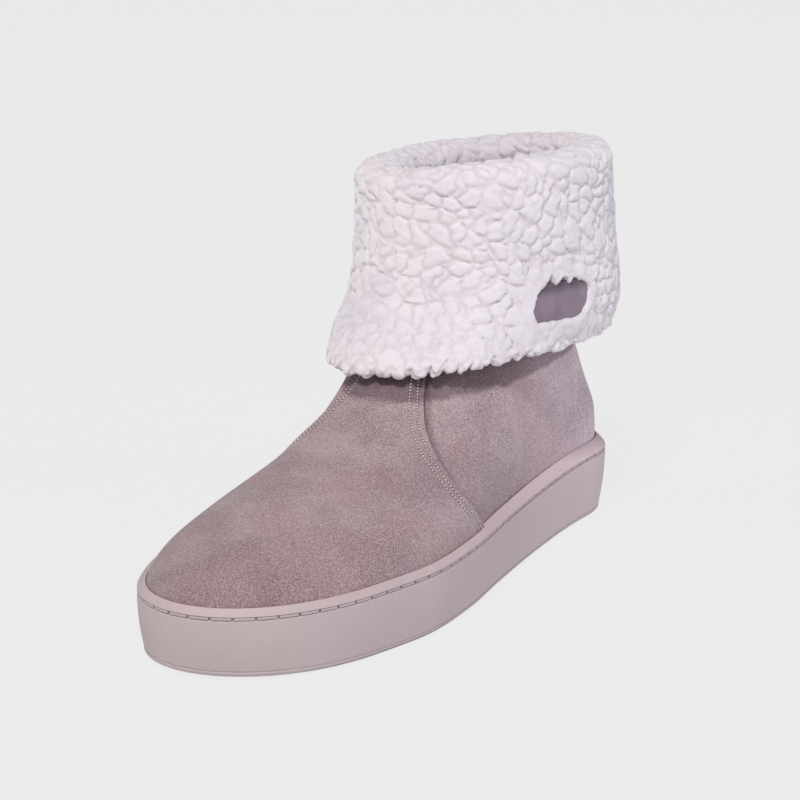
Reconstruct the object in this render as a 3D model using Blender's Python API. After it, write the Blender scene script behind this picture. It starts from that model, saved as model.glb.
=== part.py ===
"""A left pull-on suede ankle boot: its shaft is folded down as a fleece cuff, and it stands on a cup sole.

Shoe coordinates: s runs from the back of the heel to the toe, x to the outer side, z up.
World coordinates: the toe points to -Y, the outer side of this left shoe to +X.
"""
import math

import bmesh
import bpy
import numpy as np

# Driving dimensions, in metres.
SOLE_LENGTH = 0.270          # cup sole, heel to toe
BALL_WIDTH = 0.0924          # cup sole across the ball
HEEL_CAP = 0.0364            # length over which the heel end rounds
TOE_CAP = 0.0628             # length over which the toe end rounds
SOLE_HEEL_HEIGHT = 0.0258    # shoulder of the side wall above the floor, at the heel
SOLE_TOE_HEIGHT = 0.0215     # the same at the toe
CUP_FLOOR = 0.0120           # top of the cup floor above the floor
WALL_DRAFT = 0.0021          # how far the side wall leans in to the ground
TOE_SPRING = 0.0014          # lift of the tread at the toe tip
SPRING_START = 0.76          # share of the length at which the tread begins to lift
EDGE_RADIUS = 0.0015         # round at the bottom edge of the side wall
LIP_WIDTH = 0.0045           # how far the lip turns in from the side wall to the upper
LIP_RISE = 0.0030            # how far the lip rises from the shoulder
CHANNEL_WIDTH = 0.0018       # stitch channel under the shoulder
CHANNEL_DEPTH = 0.0010
CHANNEL_EDGE = 0.0005        # height of the slopes that lead in to the channel
TREAD_RIM = 0.0080           # plain rim round the tread
GROOVE_WIDTH = 0.0026
GROOVE_PITCH = 0.0095
GROOVE_DEPTH = 0.0018
ARCH_RECESS = 0.0015         # depth of the plain field under the arch
HEEL_TREAD = (0.075, 0.300)  # stations between which the heel's grooves lie, in shares of the length
FOREFOOT_TREAD = (0.57, 0.93)
ARCH_FIELD = (0.345, 0.525)

SHAFT_HEIGHT = 0.1300        # where the shaft's fold begins, above the floor, at its lowest
FOLD_SIDE = 0.0078           # how much higher the fold is on the outer side
FOLD_FRONT = 0.0020          # how much higher it is in front
SHAFT_WIDTH = 0.0640         # suede of the shaft at its top, across
WALL = 0.0018                # suede of the upper
FOLD_GAP = 0.0022            # space between the shaft and its turned down flap
VAMP_THICKNESS = 0.0012
VAMP_TUCK = 0.0045           # how far the vamp reaches down behind the lip
VAMP_TOP = 0.0090            # how far the vamp reaches up under the flap
TOE_ROUND = 0.0450           # length over which the toe box rounds down to the sole
INSOLE_THICKNESS = 0.0040
INSOLE_EDGE = 0.0010         # bevel round the insole

FLEECE = 0.0066              # fleece on the outside of the cuff
FLEECE_TOP = 0.0048          # fleece above the fold
FLEECE_INSIDE = 0.0050       # fleece on the inner side of the shaft
LOCK_RELIEF = 0.0024         # how far the locks stand out of it
LOCK_LENGTH = 0.0130         # one lock from root to tip
LOCKS_ROUND = 40             # locks side by side round the cuff
FLEECE_BULGE = 0.0009        # how much the fleece swells between the fold and the hem
FLEECE_DEPTH = 0.0300        # how far it reaches down inside
HEM_HEIGHT = 0.0780          # mean height of the flap's edge on the shaft's skin
HEM_FALL = 0.0055            # how much lower the hem is in front, and higher behind
HEM_SIDE = 0.0015            # how much higher it is on the outer side
HEM_FLARE = 0.0060           # how far the flap's edge stands off behind
HEM_DROP = 0.0030            # fleece below the edge of the flap
HEM_WAVE = 0.0016            # how uneven the fleece's own edge is
HEM_BEVEL = 0.0006           # height of the bevel under that edge

PATCH_LENGTH = 0.0340
PATCH_HEIGHT = 0.0150
PATCH_THICKNESS = 0.0012
PATCH_CORNER = 0.0030
PATCH_LEVEL = 0.0929         # height of its middle on the shaft's skin
PATCH_TURN = 0.622           # its place round the cuff, in half turns from the back over the outer side
PATCH_MARGIN = 0.0035        # flat fleece round it
PATCH_SLOPE = 0.0020         # length over which the fleece rises again beside it

GAP = 0.0003                 # clearance between touching pieces
CUFF_GAP = 0.0004            # the same between the suede and the fleece

# Plan of the cup sole: station along the length, outer and inner half width in shares of the ball width.
PLAN = (
    (0.00, 0.401, 0.391),
    (0.15, 0.388, 0.393),
    (0.30, 0.421, 0.378),
    (0.45, 0.477, 0.372),
    (0.58, 0.534, 0.411),
    (0.70, 0.548, 0.452),
    (0.80, 0.496, 0.450),
    (0.90, 0.444, 0.409),
    (1.00, 0.399, 0.397),
)
HEEL_ROUNDNESS = 2.95
TOE_ROUNDNESS = 2.78

# Ridge of the upper from the toe over the instep up the front of the shaft: station in shares of the
# sole length, height in shares of the shaft height, and how full the cross section is under it.
RIDGE = (
    (0.970, 0.242, 1.28),
    (0.900, 0.283, 1.28),
    (0.820, 0.319, 1.45),
    (0.740, 0.349, 1.78),
    (0.660, 0.384, 2.05),
    (0.590, 0.430, 2.15),
    (0.530, 0.500, 2.15),
    (0.480, 0.585, 2.15),
    (0.436, 0.665, 2.15),
    (0.408, 0.748, 2.15),
    (0.394, 0.865, 2.15),
    (0.388, 1.000, 2.15),
)

# Sections of the upper: height in shares of the shaft height, back and widest station in shares of the
# sole length, half width of the shaft's oval in shares of the shaft width.
SECTIONS = (
    (0.00, 0.0120, 0.505, 0.52),
    (0.20, 0.0110, 0.505, 0.52),
    (0.24, 0.0116, 0.490, 0.52),
    (0.30, 0.0150, 0.450, 0.52),
    (0.40, 0.027, 0.360, 0.52),
    (0.52, 0.040, 0.275, 0.51),
    (0.65, 0.046, 0.205, 0.52),
    (0.82, 0.047, 0.195, 0.52),
    (1.00, 0.043, 0.205, 0.53),
)
SHAFT_BLEND = (0.30, 0.68)   # heights, in shares, between which the foot becomes the shaft's oval

# Seam of the vamp on both sides: height in shares of the shaft height, station in shares of the length.
SEAM = (
    (0.120, 0.500),
    (0.200, 0.524),
    (0.255, 0.552),
    (0.315, 0.573),
    (0.376, 0.566),
    (0.430, 0.543),
    (0.480, 0.516),
    (0.560, 0.475),
    (0.660, 0.430),
)
SEAM_LEAD = 0.010            # the lip begins to stand off this far behind the seam

COLUMNS = 52                 # points round the upper, the sole and the insole
CUFF_COLUMNS = 2 * COLUMNS
FRONT_RINGS = 13             # rings of the upper from the lip at the toe to the hem
BEND_RINGS = 3               # of these, at the instep, where the inner wall has one behind each
SHAFT_RINGS = 2
PATCH_COLUMNS = 12


def named(table, index):
    """One named column of a table."""
    return [row[index] for row in table]


def smooth(xs, ys, x):
    """A smooth curve through the points of a table, level outside it."""
    xs = np.asarray(xs, float)
    ys = np.asarray(ys, float)
    if xs[0] > xs[-1]:
        xs = xs[::-1]
        ys = ys[::-1]
    slope = np.gradient(ys, xs)
    x = np.clip(np.asarray(x, float), xs[0], xs[-1])
    i = np.clip(np.searchsorted(xs, x, side="right") - 1, 0, len(xs) - 2)
    step = xs[i + 1] - xs[i]
    t = (x - xs[i]) / step
    level = (2 * t ** 3 - 3 * t ** 2 + 1) * ys[i] + (3 * t ** 2 - 2 * t ** 3) * ys[i + 1]
    bend = (t ** 3 - 2 * t ** 2 + t) * slope[i] + (t ** 3 - t ** 2) * slope[i + 1]
    return level + bend * step


def ease(t):
    """0 before 0, 1 after 1 and smooth between."""
    t = np.clip(t, 0.0, 1.0)
    return t * t * (3 - 2 * t)


def cap(distance, length, roundness):
    """Share of the full width at a distance from a rounded end."""
    away = np.clip(1 - distance / length, 0.0, 1.0)
    return np.sqrt(1 - away ** roundness)


def angles(count):
    """Angles round a section: 0 at the heel, pi at the toe, the outer side first."""
    return np.arange(count) * 2 * math.pi / count


def half_width(s, theta):
    """Half width of the cup sole at a station, before its ends are rounded."""
    stations = named(PLAN, 0)
    outer = smooth(stations, named(PLAN, 1), s / SOLE_LENGTH)
    inner = smooth(stations, named(PLAN, 2), s / SOLE_LENGTH)
    return BALL_WIDTH * np.where(np.sin(theta) >= 0, outer, inner)


def shoulder_height(s):
    """Height of the shoulder of the side wall."""
    share = np.clip(s / SOLE_LENGTH, 0, 1)
    return SOLE_HEEL_HEIGHT + (SOLE_TOE_HEIGHT - SOLE_HEEL_HEIGHT) * share


def lip_height(s):
    """Height of the lip where it meets the upper."""
    return shoulder_height(s) + LIP_RISE


def tread_height(s):
    """Height of the tread, level but for the toe spring."""
    forward = np.clip((s / SOLE_LENGTH - SPRING_START) / (1 - SPRING_START), 0, 1)
    return TOE_SPRING * forward ** 2


def plan_point(theta):
    """Point of the sole's outline at the shoulder: x and s."""
    s = SOLE_LENGTH * (1 - np.cos(theta)) / 2
    width = half_width(s, theta)
    width = width * cap(s, HEEL_CAP, HEEL_ROUNDNESS) * cap(SOLE_LENGTH - s, TOE_CAP, TOE_ROUNDNESS)
    return np.sign(np.sin(theta)) * width, s


def plan_ring(inset):
    """The sole's outline, moved inward by a distance."""
    theta = angles(COLUMNS)
    turn = 1e-3
    x, s = plan_point(theta)
    x_next, s_next = plan_point(theta + turn)
    x_last, s_last = plan_point(theta - turn)
    along = np.stack([x_next - x_last, s_next - s_last], 1)
    along /= np.linalg.norm(along, axis=1, keepdims=True)
    return np.stack([x - inset * along[:, 1], s + inset * along[:, 0]], 1)


def toe_tip():
    """Foremost station of the upper."""
    return SOLE_LENGTH - LIP_WIDTH


def ridge_line():
    """The upper's ridge from the front of the shaft to the toe, where it is round: stations and heights."""
    s = np.linspace(RIDGE[-1][0] * SOLE_LENGTH, toe_tip(), 1500)
    top = SHAFT_HEIGHT * smooth(named(RIDGE, 0), named(RIDGE, 1), s / SOLE_LENGTH)
    lip = lip_height(s)
    return s, lip + (top - lip) * cap(toe_tip() - s, TOE_ROUND, 3.0)


def ridge_height(s):
    """Height of the ridge at a station."""
    return np.interp(s, *ridge_line())


def front_station(z):
    """Foremost station of the section at a height."""
    s, heights = ridge_line()
    return np.interp(z, heights[::-1], s[::-1])


def skin_point(theta, z):
    """Point of the upper's outer skin at an angle and a height: x, s and height."""
    share = z / SHAFT_HEIGHT
    levels = named(SECTIONS, 0)
    back = SOLE_LENGTH * smooth(levels, named(SECTIONS, 1), share)
    widest = SOLE_LENGTH * smooth(levels, named(SECTIONS, 2), share)
    oval = SHAFT_WIDTH * smooth(levels, named(SECTIONS, 3), share) * np.abs(np.sin(theta))
    front = front_station(z)
    turn = np.cos(theta)
    s = widest - turn * np.where(turn > 0, widest - back, front - widest)
    foot = half_width(s, theta) - LIP_WIDTH
    foot = foot * cap(s - back, HEEL_CAP - LIP_WIDTH, HEEL_ROUNDNESS)
    foot = foot * cap(toe_tip() - s, TOE_CAP - LIP_WIDTH, TOE_ROUNDNESS)
    lip = lip_height(s)
    rise = np.clip((z - lip) / np.maximum(ridge_height(s) - lip, 1e-6), 0, 1)
    fullness = smooth(named(RIDGE, 0), named(RIDGE, 2), s / SOLE_LENGTH)
    foot = foot * np.sqrt(1 - rise ** fullness)
    blend = ease((share - SHAFT_BLEND[0]) / (SHAFT_BLEND[1] - SHAFT_BLEND[0]))
    x = np.sign(np.sin(theta)) * (foot + (oval - foot) * blend)
    return np.stack(np.broadcast_arrays(x, s, z), -1)


def skin(theta, z, offset=0.0):
    """The skin moved outward by a distance along its normal."""
    turn = 1e-3
    rise = 4e-4
    across = skin_point(theta + turn, z) - skin_point(theta - turn, z)
    upward = skin_point(theta, z + rise) - skin_point(theta, z - rise)
    normal = np.cross(across, upward)
    normal /= np.linalg.norm(normal, axis=-1, keepdims=True)
    return skin_point(theta, z) + np.asarray(offset)[..., None] * normal


def fold_height(theta):
    """Height on the shaft's skin at which the fold begins."""
    return SHAFT_HEIGHT + FOLD_SIDE * (1 + np.sin(theta)) / 2 + FOLD_FRONT * (1 - np.cos(theta)) / 2


def rim(theta, offset, height):
    """A point over the rim: out from the shaft's skin at its top, and up."""
    level = np.full_like(theta, SHAFT_HEIGHT)
    out = skin(theta, level, GAP) - skin(theta, level)
    out[:, 2] = 0
    out /= np.linalg.norm(out, axis=1, keepdims=True)
    top = skin_point(theta, fold_height(theta))
    point = top + np.reshape(offset, (-1, 1)) * out
    point[:, 2] += height
    return point


def hem_height(theta):
    """Height of the flap's edge on the shaft's skin."""
    return HEM_HEIGHT + HEM_FALL * np.cos(theta) + HEM_SIDE * np.sin(theta)


def flap_gap(theta, share):
    """Space between the shaft and the flap, at a share of the way from the hem to the fold."""
    behind = (1 + np.cos(theta)) / 2
    return FOLD_GAP + HEM_FLARE * behind * (1 - np.clip(share, 0, 1)) ** 1.5


def ring_heights(low, high, count):
    """Heights of rings evenly spaced along the ridge."""
    z = np.linspace(low, high, 400)
    step = np.hypot(np.diff(front_station(z)), np.diff(z))
    length = np.concatenate([[0], np.cumsum(step)])
    return np.interp(np.linspace(0, length[-1], count), length, z)


def world(points):
    """Shoe coordinates to world coordinates."""
    points = np.asarray(points, float)
    return np.stack([points[..., 0], SOLE_LENGTH / 2 - points[..., 1], points[..., 2]], -1)


def material(name, colour, roughness):
    """A plain finish for one piece."""
    finish = bpy.data.materials.new(name)
    finish.use_nodes = True
    shader = finish.node_tree.nodes["Principled BSDF"]
    shader.inputs["Base Color"].default_value = (*colour, 1.0)
    shader.inputs["Roughness"].default_value = roughness
    shader.inputs["Metallic"].default_value = 0.0
    finish.diffuse_color = (*colour, 1.0)
    return finish


def solid(name, points, faces, colour, roughness=0.9):
    """An object from shoe coordinates, its faces turned outward."""
    mesh = bpy.data.meshes.new(name)
    mesh.from_pydata([tuple(p) for p in world(points)], [], faces)
    shell = bmesh.new()
    shell.from_mesh(mesh)
    bmesh.ops.triangulate(shell, faces=[f for f in shell.faces if len(f.verts) > 4])
    bmesh.ops.recalc_face_normals(shell, faces=shell.faces)
    shell.to_mesh(mesh)
    shell.free()
    mesh.materials.append(material(name, colour, roughness))
    mesh.shade_smooth()
    mesh.set_sharp_from_angle(angle=math.radians(40))
    piece = bpy.data.objects.new(name, mesh)
    bpy.context.collection.objects.link(piece)
    return piece


def ring_faces(rings, columns, closed_rings=False, closed_columns=True, first=0):
    """Triangles between neighbouring rings, all with the same diagonal."""
    faces = []
    for i in range(rings if closed_rings else rings - 1):
        for j in range(columns if closed_columns else columns - 1):
            a = first + i * columns + j
            b = first + i * columns + (j + 1) % columns
            c = first + (i + 1) % rings * columns + (j + 1) % columns
            d = first + (i + 1) % rings * columns + j
            faces += [(a, b, c), (a, c, d)]
    return faces


def sheet_faces(rows, columns):
    """Faces of a thin sheet: its outer side, its inner side and the edge all round."""
    faces = ring_faces(rows, columns, closed_columns=False)
    inner = rows * columns
    faces += ring_faces(rows, columns, closed_columns=False, first=inner)
    border = [(i, 0) for i in range(rows)]
    border += [(rows - 1, j) for j in range(1, columns)]
    border += [(i, columns - 1) for i in range(rows - 2, -1, -1)]
    border += [(0, j) for j in range(columns - 2, 0, -1)]
    corners = [i * columns + j for i, j in border]
    for a, b in zip(corners, corners[1:] + corners[:1]):
        faces.append((a, b, inner + b, inner + a))
    return faces


def strip_cap(first, columns):
    """Faces straight across a ring from its outer to its inner side, from heel to toe."""
    faces = [(first, first + 1, first + columns - 1)]
    for j in range(1, columns // 2 - 1):
        faces.append((first + j, first + j + 1, first + columns - j - 1, first + columns - j))
    middle = columns // 2
    faces.append((first + middle - 1, first + middle, first + middle + 1))
    return faces


def cutter(piece, tool, operation):
    """Cut one piece with another, which is only a guide."""
    tool.hide_render = True
    tool.display_type = "WIRE"
    cut = piece.modifiers.new(tool.name, "BOOLEAN")
    cut.operation = operation
    cut.object = tool
    cut.solver = "EXACT"


def seam_station(z):
    """Station of the vamp's rear edge at a height."""
    return SOLE_LENGTH * smooth(named(SEAM, 0), named(SEAM, 1), z / SHAFT_HEIGHT)


def upper_heights():
    """Heights of the level rings of the upper's outer skin, from the cup floor to under the fold."""
    lip = SOLE_TOE_HEIGHT + LIP_RISE
    hem = HEM_HEIGHT + VAMP_TOP
    front = ring_heights(lip, hem, FRONT_RINGS)
    shaft = np.linspace(hem, SHAFT_HEIGHT, SHAFT_RINGS + 1)[1:-1]
    return np.concatenate([[CUP_FLOOR + GAP, lip - VAMP_TUCK], front, shaft])


def fold_rings(reach):
    """Half a round over the fold, from the flap's side to the lining's side."""
    theta = angles(COLUMNS)
    rings = []
    for turn in np.radians([45, 90, 135]):
        rings.append(rim(theta, FOLD_GAP / 2 + reach * math.cos(turn), reach * math.sin(turn)))
    return rings


def make_upper():
    """One wall: up from the cup floor, over the fold, and down again as the cuff's flap."""
    theta = angles(COLUMNS)
    top = fold_height(theta)
    hem = hem_height(theta)
    rings = [skin(theta, np.full(COLUMNS, z)) for z in upper_heights()]
    rings.append(skin(theta, top))
    middle = FOLD_GAP / 2
    rings.append(rim(theta, middle, middle))
    for share in (1.0, 0.6, 0.25, 0.0):
        rings.append(skin(theta, hem + (top - hem) * share, flap_gap(theta, share)))
    for share in (0.0, 0.25, 0.6, 1.0):
        rings.append(skin(theta, hem + (top - hem) * share, flap_gap(theta, share) + WALL))
    rings += fold_rings(middle + WALL)
    front = upper_heights()[2:2 + FRONT_RINGS]
    lining = np.concatenate([front[:-BEND_RINGS:2], front[-BEND_RINGS:]])
    lining = np.concatenate([[SHAFT_HEIGHT - FLEECE_DEPTH], lining[::-1], [CUP_FLOOR + GAP]])
    rings.append(skin(theta, top, np.full(COLUMNS, -WALL)))
    rings += [skin(theta, np.full(COLUMNS, z), np.full(COLUMNS, -WALL)) for z in lining]
    faces = ring_faces(len(rings), COLUMNS, closed_rings=True)
    return solid("upper", np.concatenate(rings), faces, (0.43, 0.31, 0.32))


def make_vamp():
    """Overlay panel from the upper's own skin, cut along the seam."""
    half = COLUMNS // 2
    reach = half // 2 + 1
    theta = angles(COLUMNS)[half - reach:half + reach + 1]
    heights = upper_heights()[1:2 + FRONT_RINGS]
    count = len(theta)
    sheets = []
    for offset in (GAP + VAMP_THICKNESS, GAP):
        sheets += [skin(theta, np.full(count, z), np.full(count, offset)) for z in heights]
    faces = sheet_faces(len(heights), count)
    panel = solid("vamp", np.concatenate(sheets), faces, (0.43, 0.31, 0.32))
    levels = np.linspace(named(SEAM, 0)[0], named(SEAM, 0)[-1], 12) * SHAFT_HEIGHT
    edge = [(seam_station(z), z) for z in levels]
    edge += [(SOLE_LENGTH * 1.2, levels[-1]), (SOLE_LENGTH * 1.2, levels[0])]
    side = BALL_WIDTH
    points = [(x, s, z) for x in (-side, side) for s, z in edge]
    n = len(edge)
    faces = [tuple(range(n)), tuple(range(n, 2 * n))]
    faces += [(k, (k + 1) % n, n + (k + 1) % n, n + k) for k in range(n)]
    guide = solid("seam guide", points, faces, (0.5, 0.5, 0.5))
    cutter(panel, guide, "INTERSECT")
    return panel


def with_middles(ring):
    """A ring with the middle of each of its sides added, so that it follows flat faces."""
    following = np.roll(ring, -1, axis=0)
    return np.stack([ring, (ring + following) / 2], 1).reshape(-1, 3)


def fleece_thickness(theta, share):
    """Thickness of the outer fleece: locks in staggered rows, flat under the patch."""
    row = share * (SHAFT_HEIGHT - HEM_HEIGHT) / LOCK_LENGTH
    column = theta / (2 * math.pi) * LOCKS_ROUND
    sway = 0.35 * np.sin(3 * theta + 1.7 * row) + 0.3 * np.sin(7 * theta - 2.3 * row)
    across = np.abs(np.sin(math.pi * (column + sway)))
    along = np.abs(np.cos(math.pi * (row + 0.5 * np.sin(5 * theta + sway))))
    bulge = FLEECE_BULGE * np.sin(2 * theta + 0.6) * np.sin(math.pi * share)
    return FLEECE + bulge + LOCK_RELIEF * (np.sqrt(across * along) - 0.6)


def patch_place():
    """Angle of the patch's middle, and metres round the cuff for each radian there."""
    theta = PATCH_TURN * math.pi
    turn = 0.05
    ends = np.array([theta - turn, theta + turn])
    behind, ahead = flap_point(ends, np.full(2, PATCH_LEVEL), WALL + FLEECE)
    return theta, float(np.linalg.norm(ahead - behind)) / (2 * turn)


def pocket_levels():
    """Lower and upper end of the flat pocket that the patch lies in."""
    reach = PATCH_HEIGHT / 2 + PATCH_MARGIN
    return PATCH_LEVEL - reach, PATCH_LEVEL + reach


def flap_point(theta, z, offset):
    """Point at a distance from the shaft's side of the flap."""
    hem = hem_height(theta)
    return skin(theta, z, flap_gap(theta, (z - hem) / (fold_height(theta) - hem)) + offset)


def pocket_point(theta, z, offset):
    """Point over the pocket, which is straight between its ends and its middle."""
    below, above = pocket_levels()
    end = np.where(z < PATCH_LEVEL, below, above)
    share = ((z - PATCH_LEVEL) / (end - PATCH_LEVEL))[:, None]
    middle = flap_point(theta, np.full_like(theta, PATCH_LEVEL), offset)
    return middle + (flap_point(theta, end, offset) - middle) * share


def make_cuff():
    """Fleece over the fold: the outer leg down to the hem, the inner leg down inside."""
    theta = angles(CUFF_COLUMNS)
    hem = hem_height(theta)
    top = fold_height(theta)
    backing = WALL + CUFF_GAP
    middle, metres = patch_place()
    away = np.abs((theta - middle) * metres)
    low = hem - HEM_DROP + HEM_WAVE * np.sin(9 * theta) * np.cos(4 * theta + 1)
    coarse = angles(COLUMNS)
    backed = hem_height(coarse)
    folded = fold_height(coarse)
    rings = []
    for share in (1.0, 0.6, 0.25, 0.0):
        ring = skin(coarse, backed + (folded - backed) * share, flap_gap(coarse, share) + backing)
        rings.append(with_middles(ring))
    edge = flap_gap(theta, 0.0) + backing
    rings.append(skin(theta, low, edge + HEM_BEVEL * 0.5))
    rings.append(skin(theta, low - HEM_BEVEL, edge + FLEECE * 0.5))
    below, above = pocket_levels()
    levels = [low + (below - low) * share for share in (0.2, 1.0)]
    levels.append(np.full(CUFF_COLUMNS, PATCH_LEVEL))
    levels += [above + (top - above) * share for share in (0.0, 0.5, 1.0)]
    for z in levels:
        share = (z - low) / (top - low)
        thick = fleece_thickness(theta, share)
        beside = np.maximum(away - PATCH_LENGTH / 2, np.abs(z - PATCH_LEVEL) - PATCH_HEIGHT / 2)
        flat = 1 - ease((beside - PATCH_MARGIN) / PATCH_SLOPE)
        thick = thick + (FLEECE - LOCK_RELIEF - thick) * flat
        thick = thick * (0.72 + 0.28 * ease(share / 0.16))
        rings.append(flap_point(theta, z, backing + thick))
    out = FOLD_GAP + backing + FLEECE
    lining = WALL + CUFF_GAP
    into = lining + FLEECE_INSIDE
    rise = FOLD_GAP / 2 + lining + FLEECE_TOP
    for turn in np.radians([45, 90, 135]):
        lump = 1 + 0.10 * np.sin(11 * theta + 4 * turn) * np.cos(6 * theta - turn)
        across = math.copysign(abs(math.cos(turn)) ** 0.8, math.cos(turn))
        offset = (out - into) / 2 + (out + into) / 2 * across
        rings.append(rim(theta, offset, rise * math.sin(turn) ** 0.8 * lump))
    bottom = np.full(CUFF_COLUMNS, SHAFT_HEIGHT - FLEECE_DEPTH)
    rings.append(skin(theta, bottom, np.full(CUFF_COLUMNS, -lining - FLEECE_INSIDE * 0.6)))
    for z in (bottom[:COLUMNS], folded):
        rings.append(with_middles(skin(coarse, z, np.full(COLUMNS, -lining))))
    rings += [with_middles(ring) for ring in reversed(fold_rings(FOLD_GAP / 2 + lining))]
    faces = ring_faces(len(rings), CUFF_COLUMNS, closed_rings=True)
    return solid("cuff_fleece", np.concatenate(rings), faces, (0.86, 0.80, 0.80), 1.0)


def make_patch():
    """A thin label with round corners that follows the cuff."""
    theta, metres = patch_place()
    half_length = PATCH_LENGTH / 2
    half_height = PATCH_HEIGHT / 2
    outline = []
    for k in range(PATCH_COLUMNS):
        a = -half_length + PATCH_LENGTH * k / (PATCH_COLUMNS - 1)
        drop = max(PATCH_CORNER - (half_length - abs(a)), 0.0)
        b = half_height - PATCH_CORNER + math.sqrt(PATCH_CORNER ** 2 - drop ** 2)
        outline.append((a, b))
    outline = np.array(outline)
    rows = [outline * (1, share) for share in (1.0, 0.5, 0.0, -0.5, -1.0)]
    low = WALL + CUFF_GAP + FLEECE - LOCK_RELIEF + GAP
    points = []
    for offset in (low + PATCH_THICKNESS, low):
        for row in rows:
            place = theta + row[:, 0] / metres
            points.append(pocket_point(place, PATCH_LEVEL + row[:, 1], np.full(len(row), offset)))
    count = len(rows)
    faces = sheet_faces(count, PATCH_COLUMNS)
    return solid("patch", np.concatenate(points), faces, (0.27, 0.21, 0.25), 0.85)


def cavity_ring(z):
    """Wall of the cup's cavity: clear of the upper, and of the vamp in front of its seam."""
    theta = angles(COLUMNS)
    s = skin_point(theta, z)[:, 1]
    forward = ease((s - seam_station(z) + SEAM_LEAD) / (0.4 * SEAM_LEAD))
    return skin(theta, z, GAP + (VAMP_THICKNESS + GAP) * forward)


def make_cupsole():
    """One moulded cup: draft, stitch channel, shoulder, lip, cavity and tread."""
    full = plan_ring(0.0)
    s = full[:, 1]
    shoulder = shoulder_height(s)
    tread = tread_height(s)
    profile = (
        (WALL_DRAFT + EDGE_RADIUS, tread),
        (WALL_DRAFT + EDGE_RADIUS * 0.3, tread + EDGE_RADIUS * 0.3),
        (WALL_DRAFT, tread + EDGE_RADIUS),
        (CHANNEL_EDGE * 0.4, shoulder - CHANNEL_WIDTH - CHANNEL_EDGE),
        (CHANNEL_DEPTH, shoulder - CHANNEL_WIDTH),
        (CHANNEL_DEPTH, shoulder - CHANNEL_EDGE),
        (0.0, shoulder),
        (LIP_WIDTH * 0.16, shoulder + LIP_RISE * 0.45),
        (LIP_WIDTH * 0.45, shoulder + LIP_RISE * 0.8),
    )
    rings = []
    for inset, height in profile:
        flat = plan_ring(inset)
        rings.append(np.column_stack([flat, height]))
    theta = angles(COLUMNS)
    upper_s = skin_point(theta, np.full(COLUMNS, SOLE_TOE_HEIGHT))[:, 1]
    rings.append(cavity_ring(lip_height(upper_s)))
    rings.append(cavity_ring(np.full(COLUMNS, CUP_FLOOR)))
    rows = len(rings)
    faces = ring_faces(rows, COLUMNS)
    faces += strip_cap(0, COLUMNS)
    faces += strip_cap((rows - 1) * COLUMNS, COLUMNS)
    sole = solid("cupsole", np.concatenate(rings), faces, (0.56, 0.46, 0.46), 0.55)
    for name, field in (("heel", HEEL_TREAD), ("forefoot", FOREFOOT_TREAD)):
        cutter(sole, make_grooves(name + " grooves", *field), "DIFFERENCE")
    cutter(sole, make_arch_guide(), "DIFFERENCE")
    return sole


def tread_edges(s):
    """Outer and inner edge of the tread field at a station."""
    edges = []
    for theta in (math.pi / 2, -math.pi / 2):
        width = half_width(s, theta) * cap(s, HEEL_CAP, HEEL_ROUNDNESS)
        width = width * cap(SOLE_LENGTH - s, TOE_CAP, TOE_ROUNDNESS) - WALL_DRAFT - TREAD_RIM
        edges.append(math.copysign(float(width), theta))
    return edges


def make_grooves(name, low, high):
    """Guide for a row of grooves across the tread."""
    points = []
    faces = []
    first = low * SOLE_LENGTH
    count = int((high - low) * SOLE_LENGTH / GROOVE_PITCH) + 1
    half = GROOVE_WIDTH / 2
    for k in range(count):
        s = first + k * GROOVE_PITCH
        outer, inner = tread_edges(s)
        base = len(points)
        for z in (-GROOVE_DEPTH, GROOVE_DEPTH + float(tread_height(s))):
            points += [(outer, s - half, z), (outer, s + half, z)]
            points += [(inner, s + half, z), (inner, s - half, z)]
        for face in ((0, 1, 2, 3), (4, 5, 6, 7), (0, 1, 5, 4), (1, 2, 6, 5), (2, 3, 7, 6), (3, 0, 4, 7)):
            faces.append(tuple(base + i for i in face))
    return solid(name, points, faces, (0.5, 0.5, 0.5))


def make_arch_guide():
    """Guide for the shallow plain field under the arch."""
    stations = np.linspace(*ARCH_FIELD, 7) * SOLE_LENGTH
    edges = [tread_edges(s) for s in stations]
    outline = [(outer, s) for (outer, inner), s in zip(edges, stations)]
    outline += [(inner, s) for (outer, inner), s in reversed(list(zip(edges, stations)))]
    n = len(outline)
    points = [(x, s, z) for z in (-ARCH_RECESS, ARCH_RECESS) for x, s in outline]
    faces = [tuple(range(n)), tuple(range(n, 2 * n))]
    faces += [(k, (k + 1) % n, n + (k + 1) % n, n + k) for k in range(n)]
    return solid("arch guide", points, faces, (0.5, 0.5, 0.5))


def make_insole():
    """Footbed on the cup floor, inside the upper."""
    theta = angles(COLUMNS)
    low = CUP_FLOOR + GAP
    side = WALL + GAP
    rings = []
    profile = (
        (side + INSOLE_EDGE * 0.4, low),
        (side, low + INSOLE_EDGE),
        (side, low + INSOLE_THICKNESS - INSOLE_EDGE),
        (side + INSOLE_EDGE, low + INSOLE_THICKNESS),
    )
    for inset, height in profile:
        rings.append(skin(theta, np.full(COLUMNS, height), np.full(COLUMNS, -inset)))
    faces = ring_faces(len(rings), COLUMNS)
    faces += strip_cap(0, COLUMNS)
    faces += strip_cap((len(rings) - 1) * COLUMNS, COLUMNS)
    return solid("insole", np.concatenate(rings), faces, (0.80, 0.75, 0.73), 0.95)


def centre(pieces):
    """Put the middle of the whole boot's box over the origin, its lowest face on the floor."""
    depsgraph = bpy.context.evaluated_depsgraph_get()
    corners = []
    for piece in pieces:
        mesh = piece.evaluated_get(depsgraph).to_mesh()
        corners += [tuple(v.co) for v in mesh.vertices]
    low = np.min(corners, axis=0)
    high = np.max(corners, axis=0)
    shift = ((low[0] + high[0]) / 2, (low[1] + high[1]) / 2, low[2])
    for thing in bpy.data.objects:
        thing.location = [-value for value in shift]


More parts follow.
